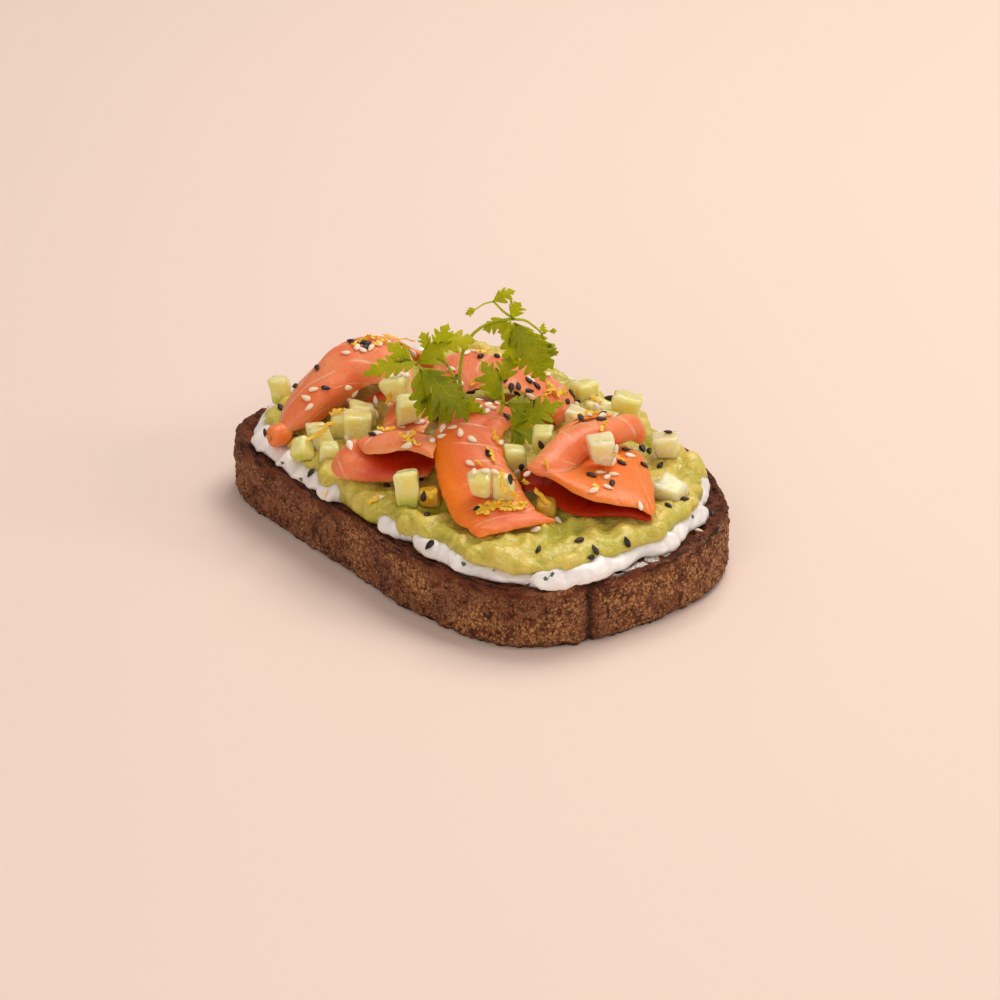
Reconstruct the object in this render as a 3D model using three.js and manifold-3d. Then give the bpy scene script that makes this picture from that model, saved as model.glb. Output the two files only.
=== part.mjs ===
// An open sandwich: a slice of dark rye bread spread with cream cheese and mashed avocado,
// topped with folded smoked salmon, cucumber dice, sesame seeds, lemon zest and a chervil sprig.
// Units are millimetres. X runs along the slice, Z is up, and the slice lies on Z = 0.

import * as THREE from 'three';
import { mergeVertices } from 'three/addons/utils/BufferGeometryUtils.js';
import Module from 'manifold-3d';

const wasm = await Module();
wasm.setup();
const toRadians = THREE.MathUtils.degToRad;

// Driving dimensions
const SLICE_LENGTH = 144;
const SLICE_WIDTH = 98;
const SLICE_THICKNESS = 17.7;
const CREAM_THICKNESS = 3.4;
const AVOCADO_THICKNESS = 3.2;
const HEAP_RISE = 3;
const SALMON_THICKNESS = 1.8;
const SALMON_STEPS = 2;
const DIE_SINK = 1.2;
const SEED_LENGTH = 3.2;
const SEED_WIDTH = 1.9;
const SEED_THICKNESS = 1.2;
const STEM_RADIUS = 0.55;
const LEAF_THICKNESS = 0.5;
const CLEARANCE = 0.3;
const AROUND = 52;

const CRUMB_TOP = SLICE_THICKNESS - 0.4;
const CREAM_BOTTOM = SLICE_THICKNESS + 0.1;
const CREAM_TOP = CREAM_BOTTOM + CREAM_THICKNESS;
const AVOCADO_TOP = CREAM_TOP + AVOCADO_THICKNESS;

// How far each spread stays inside the edge of the slice, every 15 degrees
// counterclockwise from +X.
const CREAM_INSET = [
  4.2, 5.6, 6.3, 7, 6, 4, 3, 2.5, 3.5, 4, 3, 2,
  1.2, 0.6, 6.6, 3.1, 1.8, 2.7, 2, 2.5, 3.3, 1.5, 0.9, 2.1,
];
const AVOCADO_INSET = [
  2.9, 8.6, 7.6, 6.4, 7.2, 3.8, 4, 5, 4.5, 5.5, 6, 8,
  8, 4.6, 9.8, 7.8, 4.4, 1.2, 0.9, 2.6, 4, 3.4, 3.7, 2.7,
];

// Solids

// A closed geometry as a solid, with shared corners merged and slivers at a pole dropped.
function solidOf(geometry) {
  const bare = geometry.clone();
  bare.deleteAttribute('normal');
  bare.deleteAttribute('uv');
  const merged = mergeVertices(bare, 1e-3);
  const corners = [];
  for (let i = 0; i < merged.index.count; i += 3) {
    const [a, b, c] = [0, 1, 2].map((k) => merged.index.getX(i + k));
    if (a !== b && b !== c && c !== a) corners.push(a, b, c);
  }
  const vertProperties = new Float32Array(merged.attributes.position.array);
  const triVerts = new Uint32Array(corners);
  return new wasm.Manifold(new wasm.Mesh({ numProp: 3, vertProperties, triVerts }));
}

function geometryOf(solid) {
  const mesh = solid.getMesh();
  const geometry = new THREE.BufferGeometry();
  geometry.setAttribute('position', new THREE.BufferAttribute(mesh.vertProperties, 3));
  geometry.setIndex(new THREE.BufferAttribute(mesh.triVerts, 1));
  geometry.computeVertexNormals();
  return geometry;
}

// What stays of a piece after a cut: its largest body, without loose scraps.
function largestBody(solid) {
  const bodies = solid.decompose();
  return bodies.reduce((best, body) => (body.volume() > best.volume() ? body : best));
}

function touches(solid, other) {
  const a = solid.boundingBox();
  const b = other.boundingBox();
  const apart = [0, 1, 2].some((k) => a.min[k] > b.max[k] || b.min[k] > a.max[k]);
  return !apart && solid.intersect(other).volume() > 1e-6;
}

function cutBy(solid, others) {
  const cut = others.filter((other) => touches(solid, other));
  return cut.length ? largestBody(cut.reduce((rest, other) => rest.subtract(other), solid)) : solid;
}

// Rules for uneven, natural shapes

function hash(...numbers) {
  const mixed = numbers.reduce((sum, number, k) => sum + number * [127.1, 311.7, 74.7][k], 0);
  const scattered = Math.sin(mixed) * 43758.5453;
  return scattered - Math.floor(scattered);
}

// Smooth lumps between -1 and 1, about one spacing apart.
function lumps(x, y, spacing, seed) {
  const column = Math.floor(x / spacing);
  const row = Math.floor(y / spacing);
  const u = THREE.MathUtils.smoothstep(x / spacing - column, 0, 1);
  const v = THREE.MathUtils.smoothstep(y / spacing - row, 0, 1);
  const { lerp } = THREE.MathUtils;
  const near = lerp(hash(column, row, seed), hash(column + 1, row, seed), u);
  const far = lerp(hash(column, row + 1, seed), hash(column + 1, row + 1, seed), u);
  return 2 * lerp(near, far, v) - 1;
}

function reshape(geometry, move) {
  const positions = geometry.attributes.position;
  const point = new THREE.Vector3();
  for (let i = 0; i < positions.count; i += 1) {
    point.fromBufferAttribute(positions, i);
    move(point);
    positions.setXYZ(i, point.x, point.y, point.z);
  }
  return geometry;
}

// A value that changes smoothly round the slice, from one given every 15 degrees.
function aroundSlice(values, angle) {
  const step = (angle / (2 * Math.PI)) * values.length;
  const first = Math.floor(step);
  const part = THREE.MathUtils.smoothstep(step - first, 0, 1);
  const at = (k) => values[((k % values.length) + values.length) % values.length];
  return THREE.MathUtils.lerp(at(first), at(first + 1), part);
}

// The slice's outline: an oval whose corners are squarer at the back left.
function sliceRadius(angle) {
  const squareness = 4 - 1.5 * Math.cos(angle - toRadians(36));
  const along = Math.abs(Math.cos(angle) / (SLICE_LENGTH / 2)) ** squareness;
  const across = Math.abs(Math.sin(angle) / (SLICE_WIDTH / 2)) ** squareness;
  return (along + across) ** (-1 / squareness);
}

// A turned profile of [share of the outline's radius, height] fitted to an outline.
function spread(profile, radiusAt, liftAt) {
  const points = profile.map(([share, height]) => new THREE.Vector2(share, height));
  const turned = new THREE.LatheGeometry(points, AROUND).rotateX(Math.PI / 2);
  return reshape(turned, (point) => {
    const angle = Math.atan2(point.y, point.x);
    const share = Math.hypot(point.x, point.y);
    const radius = share * radiusAt(angle);
    point.x = radius * Math.cos(angle);
    point.y = radius * Math.sin(angle);
    point.z += liftAt(point, share, angle);
  });
}

// A thin closed body over a surface pointAt(u, v), with both faces split alike.
// It thins out towards its edges.
function sheet(pointAt, columns, rows, thickness, thinnest = 0.45) {
  const positions = [];
  const index = [];
  const along = new THREE.Vector3();
  const across = new THREE.Vector3();
  const reach = 0.02;
  for (const side of [0.5, -0.5]) {
    for (let row = 0; row <= rows; row += 1) {
      for (let column = 0; column <= columns; column += 1) {
        const u = column / columns;
        const v = row / rows;
        const edge = Math.min(column, columns - column, row, rows - row) === 0;
        along.subVectors(pointAt(Math.min(u + reach, 1), v), pointAt(Math.max(u - reach, 0), v));
        across.subVectors(pointAt(u, Math.min(v + reach, 1)), pointAt(u, Math.max(v - reach, 0)));
        const offset = along.cross(across).setLength(side * thickness * (edge ? thinnest : 1));
        positions.push(...pointAt(u, v).add(offset));
      }
    }
  }
  const lower = (columns + 1) * (rows + 1);
  const at = (column, row) => row * (columns + 1) + column;
  for (let row = 0; row < rows; row += 1) {
    for (let column = 0; column < columns; column += 1) {
      const [a, b] = [at(column, row), at(column + 1, row)];
      const [c, d] = [at(column + 1, row + 1), at(column, row + 1)];
      index.push(a, b, c, a, c, d);
      index.push(lower + c, lower + b, lower + a, lower + d, lower + c, lower + a);
    }
  }
  const rim = [];
  for (let column = 0; column < columns; column += 1) rim.push(at(column, 0));
  for (let row = 0; row < rows; row += 1) rim.push(at(columns, row));
  for (let column = columns; column > 0; column -= 1) rim.push(at(column, rows));
  for (let row = rows; row > 0; row -= 1) rim.push(at(0, row));
  rim.forEach((a, k) => {
    const b = rim[(k + 1) % rim.length];
    index.push(a, lower + a, lower + b, a, lower + b, b);
  });
  const geometry = new THREE.BufferGeometry();
  geometry.setAttribute('position', new THREE.Float32BufferAttribute(positions, 3));
  geometry.setIndex(index);
  return geometry;
}

// The bread slice: a dense crumb in a dark crust, toasted at its cut rim.
function breadSlice() {
  const creaseAngle = toRadians(-32);
  const radiusAt = (angle) => {
    const crease = 1.3 * Math.exp(-(((angle - creaseAngle) / 0.028) ** 2));
    const wave = 0.35 * Math.sin(5 * angle + 1) + 0.3 * Math.sin(11 * angle + 2);
    return sliceRadius(angle) + wave - crease;
  };
  const profile = [
    [0, 0], [0.6, 0], [0.972, 0], [0.994, 1.2], [1, 4.2], [0.998, 9], [1, 13.4],
    [0.995, 16.6], [0.985, SLICE_THICKNESS], [0.955, CRUMB_TOP], [0.6, CRUMB_TOP], [0, CRUMB_TOP],
  ];
  return reshape(spread(profile, radiusAt, () => 0), (point) => {
    const onSide = point.z > 0.5 && point.z < CRUMB_TOP - 0.1;
    if (!onSide) return;
    const uneven = 1 + 0.005 * lumps(point.x + point.y, 2 * point.z, 5, 1);
    point.x *= uneven;
    point.y *= uneven;
  });
}

// The cream cheese: a spread layer with soft folds that bulge out at its edge.
function creamLayer(grow = 0) {
  const radiusAt = (angle) => {
    const folds = 0.7 * Math.sin(13 * angle + 0.6) + 0.5 * Math.sin(23 * angle);
    return sliceRadius(angle) - aroundSlice(CREAM_INSET, angle) + folds + grow;
  };
  const bottom = CREAM_BOTTOM - 2 * grow;
  const profile = [
    [0, bottom], [0.97, bottom], [1, CREAM_BOTTOM + 1], [0.99, CREAM_BOTTOM + 2.2 + grow],
    [0.955, CREAM_TOP + grow], [0.6, CREAM_TOP + grow], [0, CREAM_TOP + grow],
  ];
  return spread(profile, radiusAt, () => 0);
}

// The mashed avocado: lobes at its edge and small lumps on top, flatter under the toppings.
function avocadoMound() {
  const radiusAt = (angle) => {
    const lobes = 0.9 * Math.sin(9 * angle + 0.4) + 0.8 * Math.sin(17 * angle + 2);
    return sliceRadius(angle) - aroundSlice(AVOCADO_INSET, angle) + lobes;
  };
  const profile = [
    [0, CREAM_BOTTOM], [0.96, CREAM_BOTTOM], [0.995, CREAM_BOTTOM + 1.6], [1, CREAM_TOP + 0.6],
    [0.985, CREAM_TOP + 2], [0.95, AVOCADO_TOP - 0.6], [0.9, AVOCADO_TOP], [0.84, AVOCADO_TOP + 0.2],
    [0.77, AVOCADO_TOP], [0.66, AVOCADO_TOP], [0.35, AVOCADO_TOP], [0, AVOCADO_TOP],
  ];
  return spread(profile, radiusAt, (point, share) => {
    if (point.z <= CREAM_TOP) return 0;
    const rough = THREE.MathUtils.smoothstep(share, 0.6, 0.84);
    const uneven = 0.9 * lumps(point.x, point.y, 9, 3) + 0.7 * lumps(point.x, point.y, 4, 5);
    const heaped = 1 - THREE.MathUtils.smoothstep(share, 0.15, 0.75);
    return rough * uneven + HEAP_RISE * heaped;
  });
}

// Smoked salmon slices. Each is a net of hand-set points with a smooth surface through them.
// A row runs along one side of the slice, and the rows follow one another to the other side.
const SALMON = {
  salmon_back_left: [
    [[-38, -34.5, 25.4], [-40, -27, 26], [-39.5, -20.5, 28],
      [-36.5, -17, 32.5], [-30, -15.5, 36], [-24.5, -8.5, 35.5]],
    [[-38.6, -38.6, 25.4], [-37.6, -33, 31.5], [-38, -26, 35.3],
      [-38.5, -18.5, 38.3], [-36, -11, 40.3], [-32, -3, 39.3]],
    [[-39.5, -43, 25.4], [-42.8, -36, 31], [-46.2, -27.5, 35.3],
      [-48.7, -18.5, 39.3], [-48.2, -8.5, 40.8], [-43.2, 1, 39.3]],
    [[-46.5, -38, 25.4], [-52, -27, 31], [-53.5, -15, 34.8],
      [-51.5, -4, 36.3], [-47, 4, 34.8], [-40.5, 10, 32.3]],
    [[-52.5, -33, 25.2], [-56, -22, 26], [-57.5, -11, 27],
      [-55.5, 0, 27.5], [-50, 9, 27], [-42.5, 17, 25.6]],
  ],
  salmon_front_left: [
    [[-13.6, -44.5, 25.6], [-13.8, -45.3, 26.4], [-13.6, -45.6, 27.2], [-13.2, -45.4, 28],
      [-12.7, -44.8, 28.6], [-12.2, -43.8, 28.9], [-11.8, -42.8, 28.8]],
    [[-7.9, -45.8, 25.4], [-6.9, -46.9, 27.6], [-6.8, -46.9, 29.6], [-7.4, -45.9, 31.4],
      [-8.6, -43.8, 32.8], [-10, -41.2, 33.6], [-11.2, -38.8, 33.4]],
    [[-2.8, -43.3, 25.4], [-1.9, -43.9, 28.2], [-3.2, -42.2, 30.8], [-6.4, -38, 31.8],
      [-8.1, -35.8, 34.6], [-4.9, -39.4, 34.7], [-3.2, -42.2, 33]],
    [[2.5, -39.3, 25.8], [1.8, -38.6, 28], [-1, -35.4, 29.4], [-5.6, -29.4, 30.4],
      [-4.7, -30.9, 35.4], [0.2, -35.7, 35.8], [2.3, -38.4, 34.2]],
    [[5.7, -35, 26.4], [3.2, -32.1, 27.2], [-0.3, -27.3, 27.6], [-3.6, -23, 29.5],
      [0.5, -27.9, 35.6], [4.8, -32.2, 36.2], [5.8, -34.3, 35]],
    [[8.1, -28.8, 26.6], [6.2, -25.9, 27], [2.9, -22, 27.5], [1.1, -19.1, 29.5],
      [5.7, -23.4, 35], [10.9, -28.5, 35.6], [13.2, -31.4, 34.4]],
  ],
  salmon_centre: [
    [[-10, 0, 32], [-2, 1, 35], [5, 3, 35], [11, 6, 31]],
    [[-6, -9, 36], [2, -8, 39], [9, -6, 39], [14.5, -2.5, 36.5]],
    [[-1, -18, 37.5], [6, -18, 39.6], [13, -15.5, 39.6], [18.5, -11.5, 37.5]],
    [[6.5, -26.5, 35], [12.5, -24.5, 36.6], [19.5, -20.5, 36], [25.5, -16, 33.5]],
    [[15.5, -33, 30.5], [22, -28.5, 32], [28.5, -23, 32], [33.5, -17.5, 30]],
    [[31, -40, 27], [36, -34, 28.5], [40, -27, 28.6], [42.6, -20, 27.6]],
    [[43, -40, 25.4], [45, -33, 26], [47.2, -25.2, 26], [48.8, -16.8, 25.4]],
  ],
  salmon_right: [
    [[29.4, 25.6, 34], [31.4, 26, 32.5], [33.1, 25.6, 30.6], [33.5, 23.5, 29]],
    [[29, 23, 37.5], [32.3, 22, 36.5], [33.3, 21.7, 34], [32.4, 20.5, 31]],
    [[30.4, 15.5, 39.4], [34.2, 13.6, 38.6], [35.9, 12.6, 36], [33.2, 13.5, 32]],
    [[29.8, 7.8, 40.2], [34.7, 5.2, 39.6], [35.7, 5, 36.5], [33.1, 6.3, 32.4]],
    [[28.8, 3.2, 40.2], [34.6, 0, 39.4], [37.1, -0.6, 36.4], [36.4, 0.3, 32.6]],
    [[30.2, -4.6, 39.4], [35.3, -6.1, 38], [38.2, -4.6, 35.4], [37.9, -1.3, 32.8]],
    [[32.2, -12.1, 37.2], [36.9, -11.8, 36.6], [39.1, -8.1, 34.8], [38.9, -2, 32.8]],
    [[33.3, -16.7, 35.4], [37.7, -14.9, 35.2], [40.2, -10.4, 34.2], [39.6, -2, 32.8]],
    [[40.2, -14, 34], [41.7, -11.7, 34], [41.6, -7.1, 33.4], [37.4, 1.6, 32]],
    [[49.1, -12.4, 32], [47.7, -8.8, 32.8], [44, -2.6, 32.6], [35.2, 7.6, 31]],
    [[55.7, -8.3, 30.8], [52.3, -3.7, 31.8], [46, 3.3, 31.8], [33.8, 14.8, 30]],
    [[60.7, -2.2, 29.2], [55.6, 2.8, 30.4], [47.1, 10.1, 30.4], [35.8, 18, 29.2]],
    [[65.5, 1.4, 26.4], [58.7, 7.1, 28.2], [49.3, 13.5, 29], [36.7, 19.7, 28.4]],
  ],
  salmon_right_under: [
    [[29.7, -14.4, 29.6], [29.7, -11.4, 30.4], [27.8, -5.3, 31]],
    [[36.2, -11.2, 29], [35.4, -7.4, 29.6], [33.9, -2.7, 30.2]],
    [[43.5, -12.2, 27.2], [42.5, -8.2, 28.2], [40.8, -3.3, 29.2]],
    [[51.6, -12, 26.4], [49.9, -6.8, 28], [46.2, -0.9, 28.8]],
    [[55.5, -6.8, 26.4], [53.8, -3.5, 27.6], [49.7, 1.6, 28.2]],
    [[60.2, -1.8, 26.2], [58.4, 0.4, 27], [54.6, 4, 27.6]],
    [[64.4, 1.2, 25.6], [62.1, 2.8, 26.2], [57.8, 5.8, 26.8]],
  ],
  salmon_right_back: [
    [[25, 24.5, 34], [26.2, 17.5, 37.5], [26, 11, 38.8], [26.2, 5, 38.6], [26.6, 0, 37.6]],
    [[22, 26, 31], [22, 18.5, 34], [21.5, 12, 35], [22, 6, 34.6], [23, 1.6, 33.6]],
    [[21, 30, 25.6], [17, 21, 27.2], [16, 13, 28.6], [17, 7.5, 29], [19, 4, 29]],
  ],
  salmon_middle: [
    [[-28, -12.6, 30.6], [-24, -11, 32.4], [-18, -11, 33.6], [-11, -11.4, 34]],
    [[-23.5, -19.4, 30.6], [-18.6, -18.6, 32], [-13.4, -18, 32.6], [-7, -16.6, 33.4]],
    [[-17.6, -26.6, 29], [-13, -25, 30.5], [-9, -23.6, 31.2], [-4, -21.2, 32]],
  ],
  salmon_back: [
    [[-33, -2, 29], [-24, -4, 36], [-17, -6, 38], [-10, -8, 36]],
    [[-32, 9, 33], [-25, 5, 40], [-16, 2, 41], [-6, -2, 39]],
    [[-26, 18, 33], [-18, 15, 39], [-9, 11, 40.5], [1, 6, 39]],
    [[-20, 26, 30], [-10, 25, 34], [-1, 19, 34.6], [4.6, 12, 34.8]],
    [[-16, 31, 25.6], [-5, 32, 26.4], [2, 25, 27], [6.6, 17, 26.6]],
  ],
  salmon_curl: [
    [[-43.2, -45.1, 23.2], [-41.7, -46.1, 23.4], [-41.1, -46.5, 25.1],
      [-42, -45.9, 26.6], [-43.4, -45, 26.5], [-44, -44.7, 25.1]],
    [[-42, -43, 22.7], [-40.1, -44.2, 22.9], [-39.2, -44.8, 25.1],
      [-40.4, -44, 27.2], [-42.4, -42.8, 27], [-43.1, -42.4, 25.2]],
    [[-40.6, -41, 23.2], [-39.1, -41.9, 23.3], [-38.4, -42.4, 25.1],
      [-39.3, -41.8, 26.7], [-40.9, -40.8, 26.5], [-41.4, -40.5, 25.2]],
  ],
};

function netSurface(net) {
  const curve = (points) => new THREE.CatmullRomCurve3(points, false, 'catmullrom', 0.5);
  const rows = net.map((row) => curve(row.map((point) => new THREE.Vector3(...point))));
  return (u, v) => curve(rows.map((row) => row.getPoint(u))).getPoint(v);
}

function salmonSlice(net, grow = 0) {
  const columns = SALMON_STEPS * (net[0].length - 1);
  const rows = SALMON_STEPS * (net.length - 1);
  return sheet(netSurface(net), columns, rows, SALMON_THICKNESS + 2 * grow);
}

// Cucumber dice: [x, y, height they drop from, length, width, height, turn in degrees].
const DICE = [
  [-61, -26.6, 26, 4.6, 4.6, 6, 40],
  [-33, -35.2, 30, 5, 5, 5, 55],
  [-31.8, -28.8, 30, 5, 5, 6, 55],
  [-23.8, -28.8, 30, 6, 6, 7.5, 55],
  [-31.2, -20.6, 30, 6, 6, 6.5, 55],
  [-27, -37.4, 30, 5, 5, 5.5, 55],
  [-21.8, -40.2, 30, 4.6, 4.6, 5, 55],
  [-28.8, -44.4, 30, 5, 5.5, 4.5, 40],
  [-22, -15.6, 36, 6, 6, 6, 28],
  [-11.6, -21, 36, 5.5, 5.5, 6, 55],
  [12.2, -40, 30, 5.2, 5.2, 8.5, 48],
  [15.6, -35.4, 26, 5, 5, 4, 48],
  [33, -31.9, 36, 5, 4.4, 6, 50],
  [37.4, -26.2, 36, 5, 4.4, 6, 50],
  [22.6, -10.6, 30, 5.5, 4, 10, 60],
  [25.4, -4.8, 30, 4.4, 4.4, 7, 45],
  [43, 2, 34, 5.5, 5.5, 6.5, 62],
  [54.2, 17.4, 30, 6.5, 6.5, 4.4, 20],
  [35, 31, 30, 6, 6, 5.5, 50],
  [11, 37.4, 30, 6.5, 6, 6.5, 35],
  [12.4, 30.6, 30, 5, 5, 5.5, 35],
  [11.2, 22.4, 30, 5.5, 5.5, 7, 35],
  [4.4, 33.4, 30, 6, 5.5, 5, 25],
  [41.2, -15.6, 28, 4.8, 4.4, 4.4, 50],
  [-29, 25.5, 30, 6, 6, 7, 70],
  [-41, 24, 30, 5.5, 6, 5.5, 15],
  [-8, 38, 30, 6, 5.5, 5.5, 80],
];

function cucumberDie(size, grow = 0) {
  return new THREE.BoxGeometry(...size.map((side) => side + 2 * grow));
}

// Sesame seeds in loose patches: [x, y, radius, how many].
const SEED_PATCHES = [
  [-44, -33, 5, 6], [-41, -17, 6, 7], [-54, -19, 4, 3], [-30, -26, 4, 4], [-29, -12, 5, 4],
  [10.3, -21.6, 6, 6], [4.1, -4, 5, 4], [52, -3, 9, 8], [39.3, 10, 7, 6], [-3, 9.5, 7, 8],
  [62, -19, 7, 5], [16, -43, 8, 5], [-3, -38, 5, 3], [-24, 16, 9, 4], [26, 36, 9, 3],
  [-54, 12, 7, 3], [44, -32, 5, 2],
];

function seed() {
  const body = new THREE.SphereGeometry(0.5, 5, 3).rotateZ(Math.PI / 2);
  return reshape(body, (point) => {
    const taper = 1 - 0.7 * point.x;
    point.x *= SEED_LENGTH;
    point.y *= SEED_WIDTH * taper;
    point.z *= SEED_THICKNESS * taper;
  });
}

// Curls of grated lemon zest: [x, y, length, turn in degrees].
const ZEST = [
  [-29, -38, 11, 40], [-31, -33, 9, 80], [36, -36, 10, 20], [40, -31, 9, 100], [42, -25, 9, 60],
  [45, -20, 8, 10], [3, 15, 8, 130], [-1, 21, 9, 30], [34.5, 12, 9, 75], [-45, -10, 9, 60],
  [-40, -3, 8, 110], [8, -44, 8, 50],
];

// A flat strip that bends to and fro as it curls.
function zestCurl(length) {
  const bends = 4;
  const points = Array.from({ length: bends + 1 }, (_, k) => {
    const along = (k / bends - 0.5) * length;
    return new THREE.Vector3(along, (k % 2 ? 1 : -1) * 1.1, 0.5 * Math.sin(k * 1.7));
  });
  const width = 0.6;
  const depth = 0.25;
  const section = new THREE.Shape([
    new THREE.Vector2(-depth, -width), new THREE.Vector2(depth, -width),
    new THREE.Vector2(depth, width), new THREE.Vector2(-depth, width),
  ]);
  const extrudePath = new THREE.CatmullRomCurve3(points);
  return new THREE.ExtrudeGeometry(section, { steps: 6, bevelEnabled: false, extrudePath });
}

// The chervil sprig, in its own frame: X to the right, Y away and Z up from where it rests.
const SPRIG_AT = [10.3, -9.5, 40.5];
const SPRIG_TURN = 51;
const STEMS = [
  [[-2.5, 1, 1], [1.6, 0, 0.6], [6, -3, 1.4]],
  [[1.6, 0, 0.4], [3.5, 2, 6], [3, 3, 10], [2.4, 4, 13.5], [1.9, 5, 19], [2.4, 7, 26.5]],
  [[1.6, 0, 0.4], [-3.2, 0, 0.4], [-5.7, 0, 1.6], [-7.5, 2, 8], [-7, 5, 17]],
  [[1.9, 5, 19], [4, 6, 22], [5.2, 7, 25], [9, 7, 25], [15, 7, 21]],
  [[2.4, 7, 26.5], [-1.4, 7, 28], [-4, 7, 27]],
  [[-7, 5, 17], [-3.6, 6, 20], [-9, 6, 21]],
  [[-7, 5, 17], [-14, 6, 17.5], [-20, 6, 15.5]],
  [[3, 3, 10], [1, 2, 11], [-0.6, 1, 11]],
];

// Fronds on the stems: [foot, tip, pairs of lobes, half width].
const FRONDS = [
  [[2.4, 7, 26.2], [5.5, 8, 34], 2, 4],
  [[1.9, 5, 20.6], [5, 5.5, 28], 2, 4.5],
  [[-3, 7, 27.4], [-8, 7, 25.5], 1, 2.2],
  [[4, 6, 22], [15.5, 3, 7.5], 4, 6.5],
  [[12, 7, 23.6], [18.5, 6, 18], 2, 3],
  [[-4, 6, 20], [-19, 7, 21.5], 3, 4.5],
  [[-18, 6, 16.2], [-34, 5, 9.5], 3, 5],
  [[-7.4, 3, 11], [-15, 1, 0.6], 3, 6.5],
  [[-7, 5, 16], [-19, 3, 10.5], 3, 6],
  [[0.6, 2, 11], [-5.5, 0, 6], 1, 4.5],
  [[5.6, -2.75, 1.3], [21, -8, 5.5], 3, 6],
];

// A lacy blade: pairs of toothed lobes that point forward along its middle.
function frond([footPoint, tipPoint, pairs, halfWidth], number) {
  const foot = new THREE.Vector3(...footPoint);
  const rib = new THREE.Vector3(...tipPoint).sub(foot);
  const length = rib.length();
  const step = (0.8 * length) / pairs;
  const side = [];
  for (let pair = 0; pair < pairs; pair += 1) {
    const x = pair * step;
    const out = halfWidth * (1 - (0.45 * pair) / pairs);
    side.push([x, 0.4], [x + 0.2 * step, 0.8 * out]);
    side.push([x + 0.5 * step, 0.6 * out], [x + 0.95 * step, out]);
  }
  side.push([0.82 * length, 0.5], [0.88 * length, 0.22 * halfWidth]);
  const blade = side.map(([x, y]) => new THREE.Vector2(x, y));
  const mirrored = side.map(([x, y]) => new THREE.Vector2(x, -y)).reverse();
  const outline = new THREE.Shape([...mirrored, ...blade, new THREE.Vector2(length, 0)]);
  const depth = LEAF_THICKNESS;
  const flat = new THREE.ExtrudeGeometry(outline, { depth, steps: 1, bevelEnabled: false });
  const wavy = reshape(flat, (point) => {
    point.z += 0.35 * Math.abs(point.y) + 0.5 * Math.sin(point.x + number) - depth / 2;
  });
  const forward = rib.clone().normalize();
  const face = new THREE.Vector3(hash(number, 1) - 0.5, -0.75, 0.65);
  const across = face.cross(forward).normalize();
  const up = forward.clone().cross(across);
  return wavy.applyMatrix4(new THREE.Matrix4().makeBasis(forward, across, up).setPosition(foot));
}

function stem(points) {
  const section = new THREE.Shape([
    new THREE.Vector2(-STEM_RADIUS, -STEM_RADIUS), new THREE.Vector2(STEM_RADIUS, -STEM_RADIUS),
    new THREE.Vector2(STEM_RADIUS, STEM_RADIUS), new THREE.Vector2(-STEM_RADIUS, STEM_RADIUS),
  ]);
  const extrudePath = new THREE.CatmullRomCurve3(points.map((point) => new THREE.Vector3(...point)));
  const steps = 2 * (points.length - 1);
  return new THREE.ExtrudeGeometry(section, { steps, bevelEnabled: false, extrudePath });
}

// The object

const object = new THREE.Group();

function addPiece(name, geometry, color, roughness) {
  const material = new THREE.MeshStandardMaterial({ color, roughness, metalness: 0 });
  const mesh = new THREE.Mesh(geometry, material);
  mesh.name = name;
  object.add(mesh);
  return mesh;
}

// Salmon slices are laid one after another, each clear of those before it.
const salmon = {};
const grownSalmon = [];
for (const [name, net] of Object.entries(SALMON)) {
  salmon[name] = cutBy(solidOf(salmonSlice(net)), grownSalmon);
  grownSalmon.push(solidOf(salmonSlice(net, CLEARANCE)));
}

// The first surface straight below a point.
function surfaceBelow(x, y, from, solids) {
  const surfaces = Object.entries(solids).map(([name, solid]) => {
    const mesh = new THREE.Mesh(geometryOf(solid));
    mesh.name = name;
    return mesh;
  });
  const ray = new THREE.Raycaster(new THREE.Vector3(x, y, from), new THREE.Vector3(0, 0, -1));
  const [hit] = ray.intersectObjects(surfaces);
  return hit && { name: hit.object.name, point: hit.point, normal: hit.face.normal };
}

const UPRIGHT = new THREE.Vector3(0, 0, 1);

// A rotation that turns a piece about its own axis and leans it along a surface.
function leaning(normal, turn, share = 1) {
  const lean = new THREE.Quaternion().setFromUnitVectors(UPRIGHT, normal);
  const partly = new THREE.Quaternion().slerp(lean, share);
  return partly.multiply(new THREE.Quaternion().setFromAxisAngle(UPRIGHT, turn));
}

// Each die lies on what is below it, pressed a little into the soft avocado. It is raised in
// small steps until it is clear of the cream, the salmon and the other dice.
const cream = solidOf(creamLayer());
const mound = solidOf(avocadoMound());
const dice = [];
const grownDice = [];
DICE.forEach(([x, y, from, length, width, height, yaw], number) => {
  const size = [length, width, height];
  const below = surfaceBelow(x, y, from, { mound, ...salmon });
  const turn = leaning(below.normal, toRadians(yaw), 0.7);
  const place = below.point.clone();
  place.z += height / 2 - (below.name === 'mound' ? DIE_SINK : -CLEARANCE);
  const solidAt = (shape) => {
    const placing = new THREE.Matrix4().compose(place, turn, new THREE.Vector3(1, 1, 1));
    return solidOf(shape.applyMatrix4(placing));
  };
  const inTheWay = [cream, ...Object.values(salmon), ...dice];
  const isBlocked = () => {
    const grown = solidAt(cucumberDie(size, CLEARANCE));
    return inTheWay.some((other) => touches(grown, other));
  };
  while (isBlocked()) place.z += 0.3;
  dice.push(solidAt(cucumberDie(size)));
  grownDice.push(solidAt(cucumberDie(size, CLEARANCE)));
  const name = `cucumber_die_${String(number + 1).padStart(2, '0')}`;
  const mesh = addPiece(name, cucumberDie(size), 0xd9dd9a, 0.3);
  mesh.position.copy(place);
  mesh.quaternion.copy(turn);
});

const avocado = cutBy(mound, [
  solidOf(creamLayer(CLEARANCE)), ...grownSalmon, ...grownDice,
]);

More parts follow.
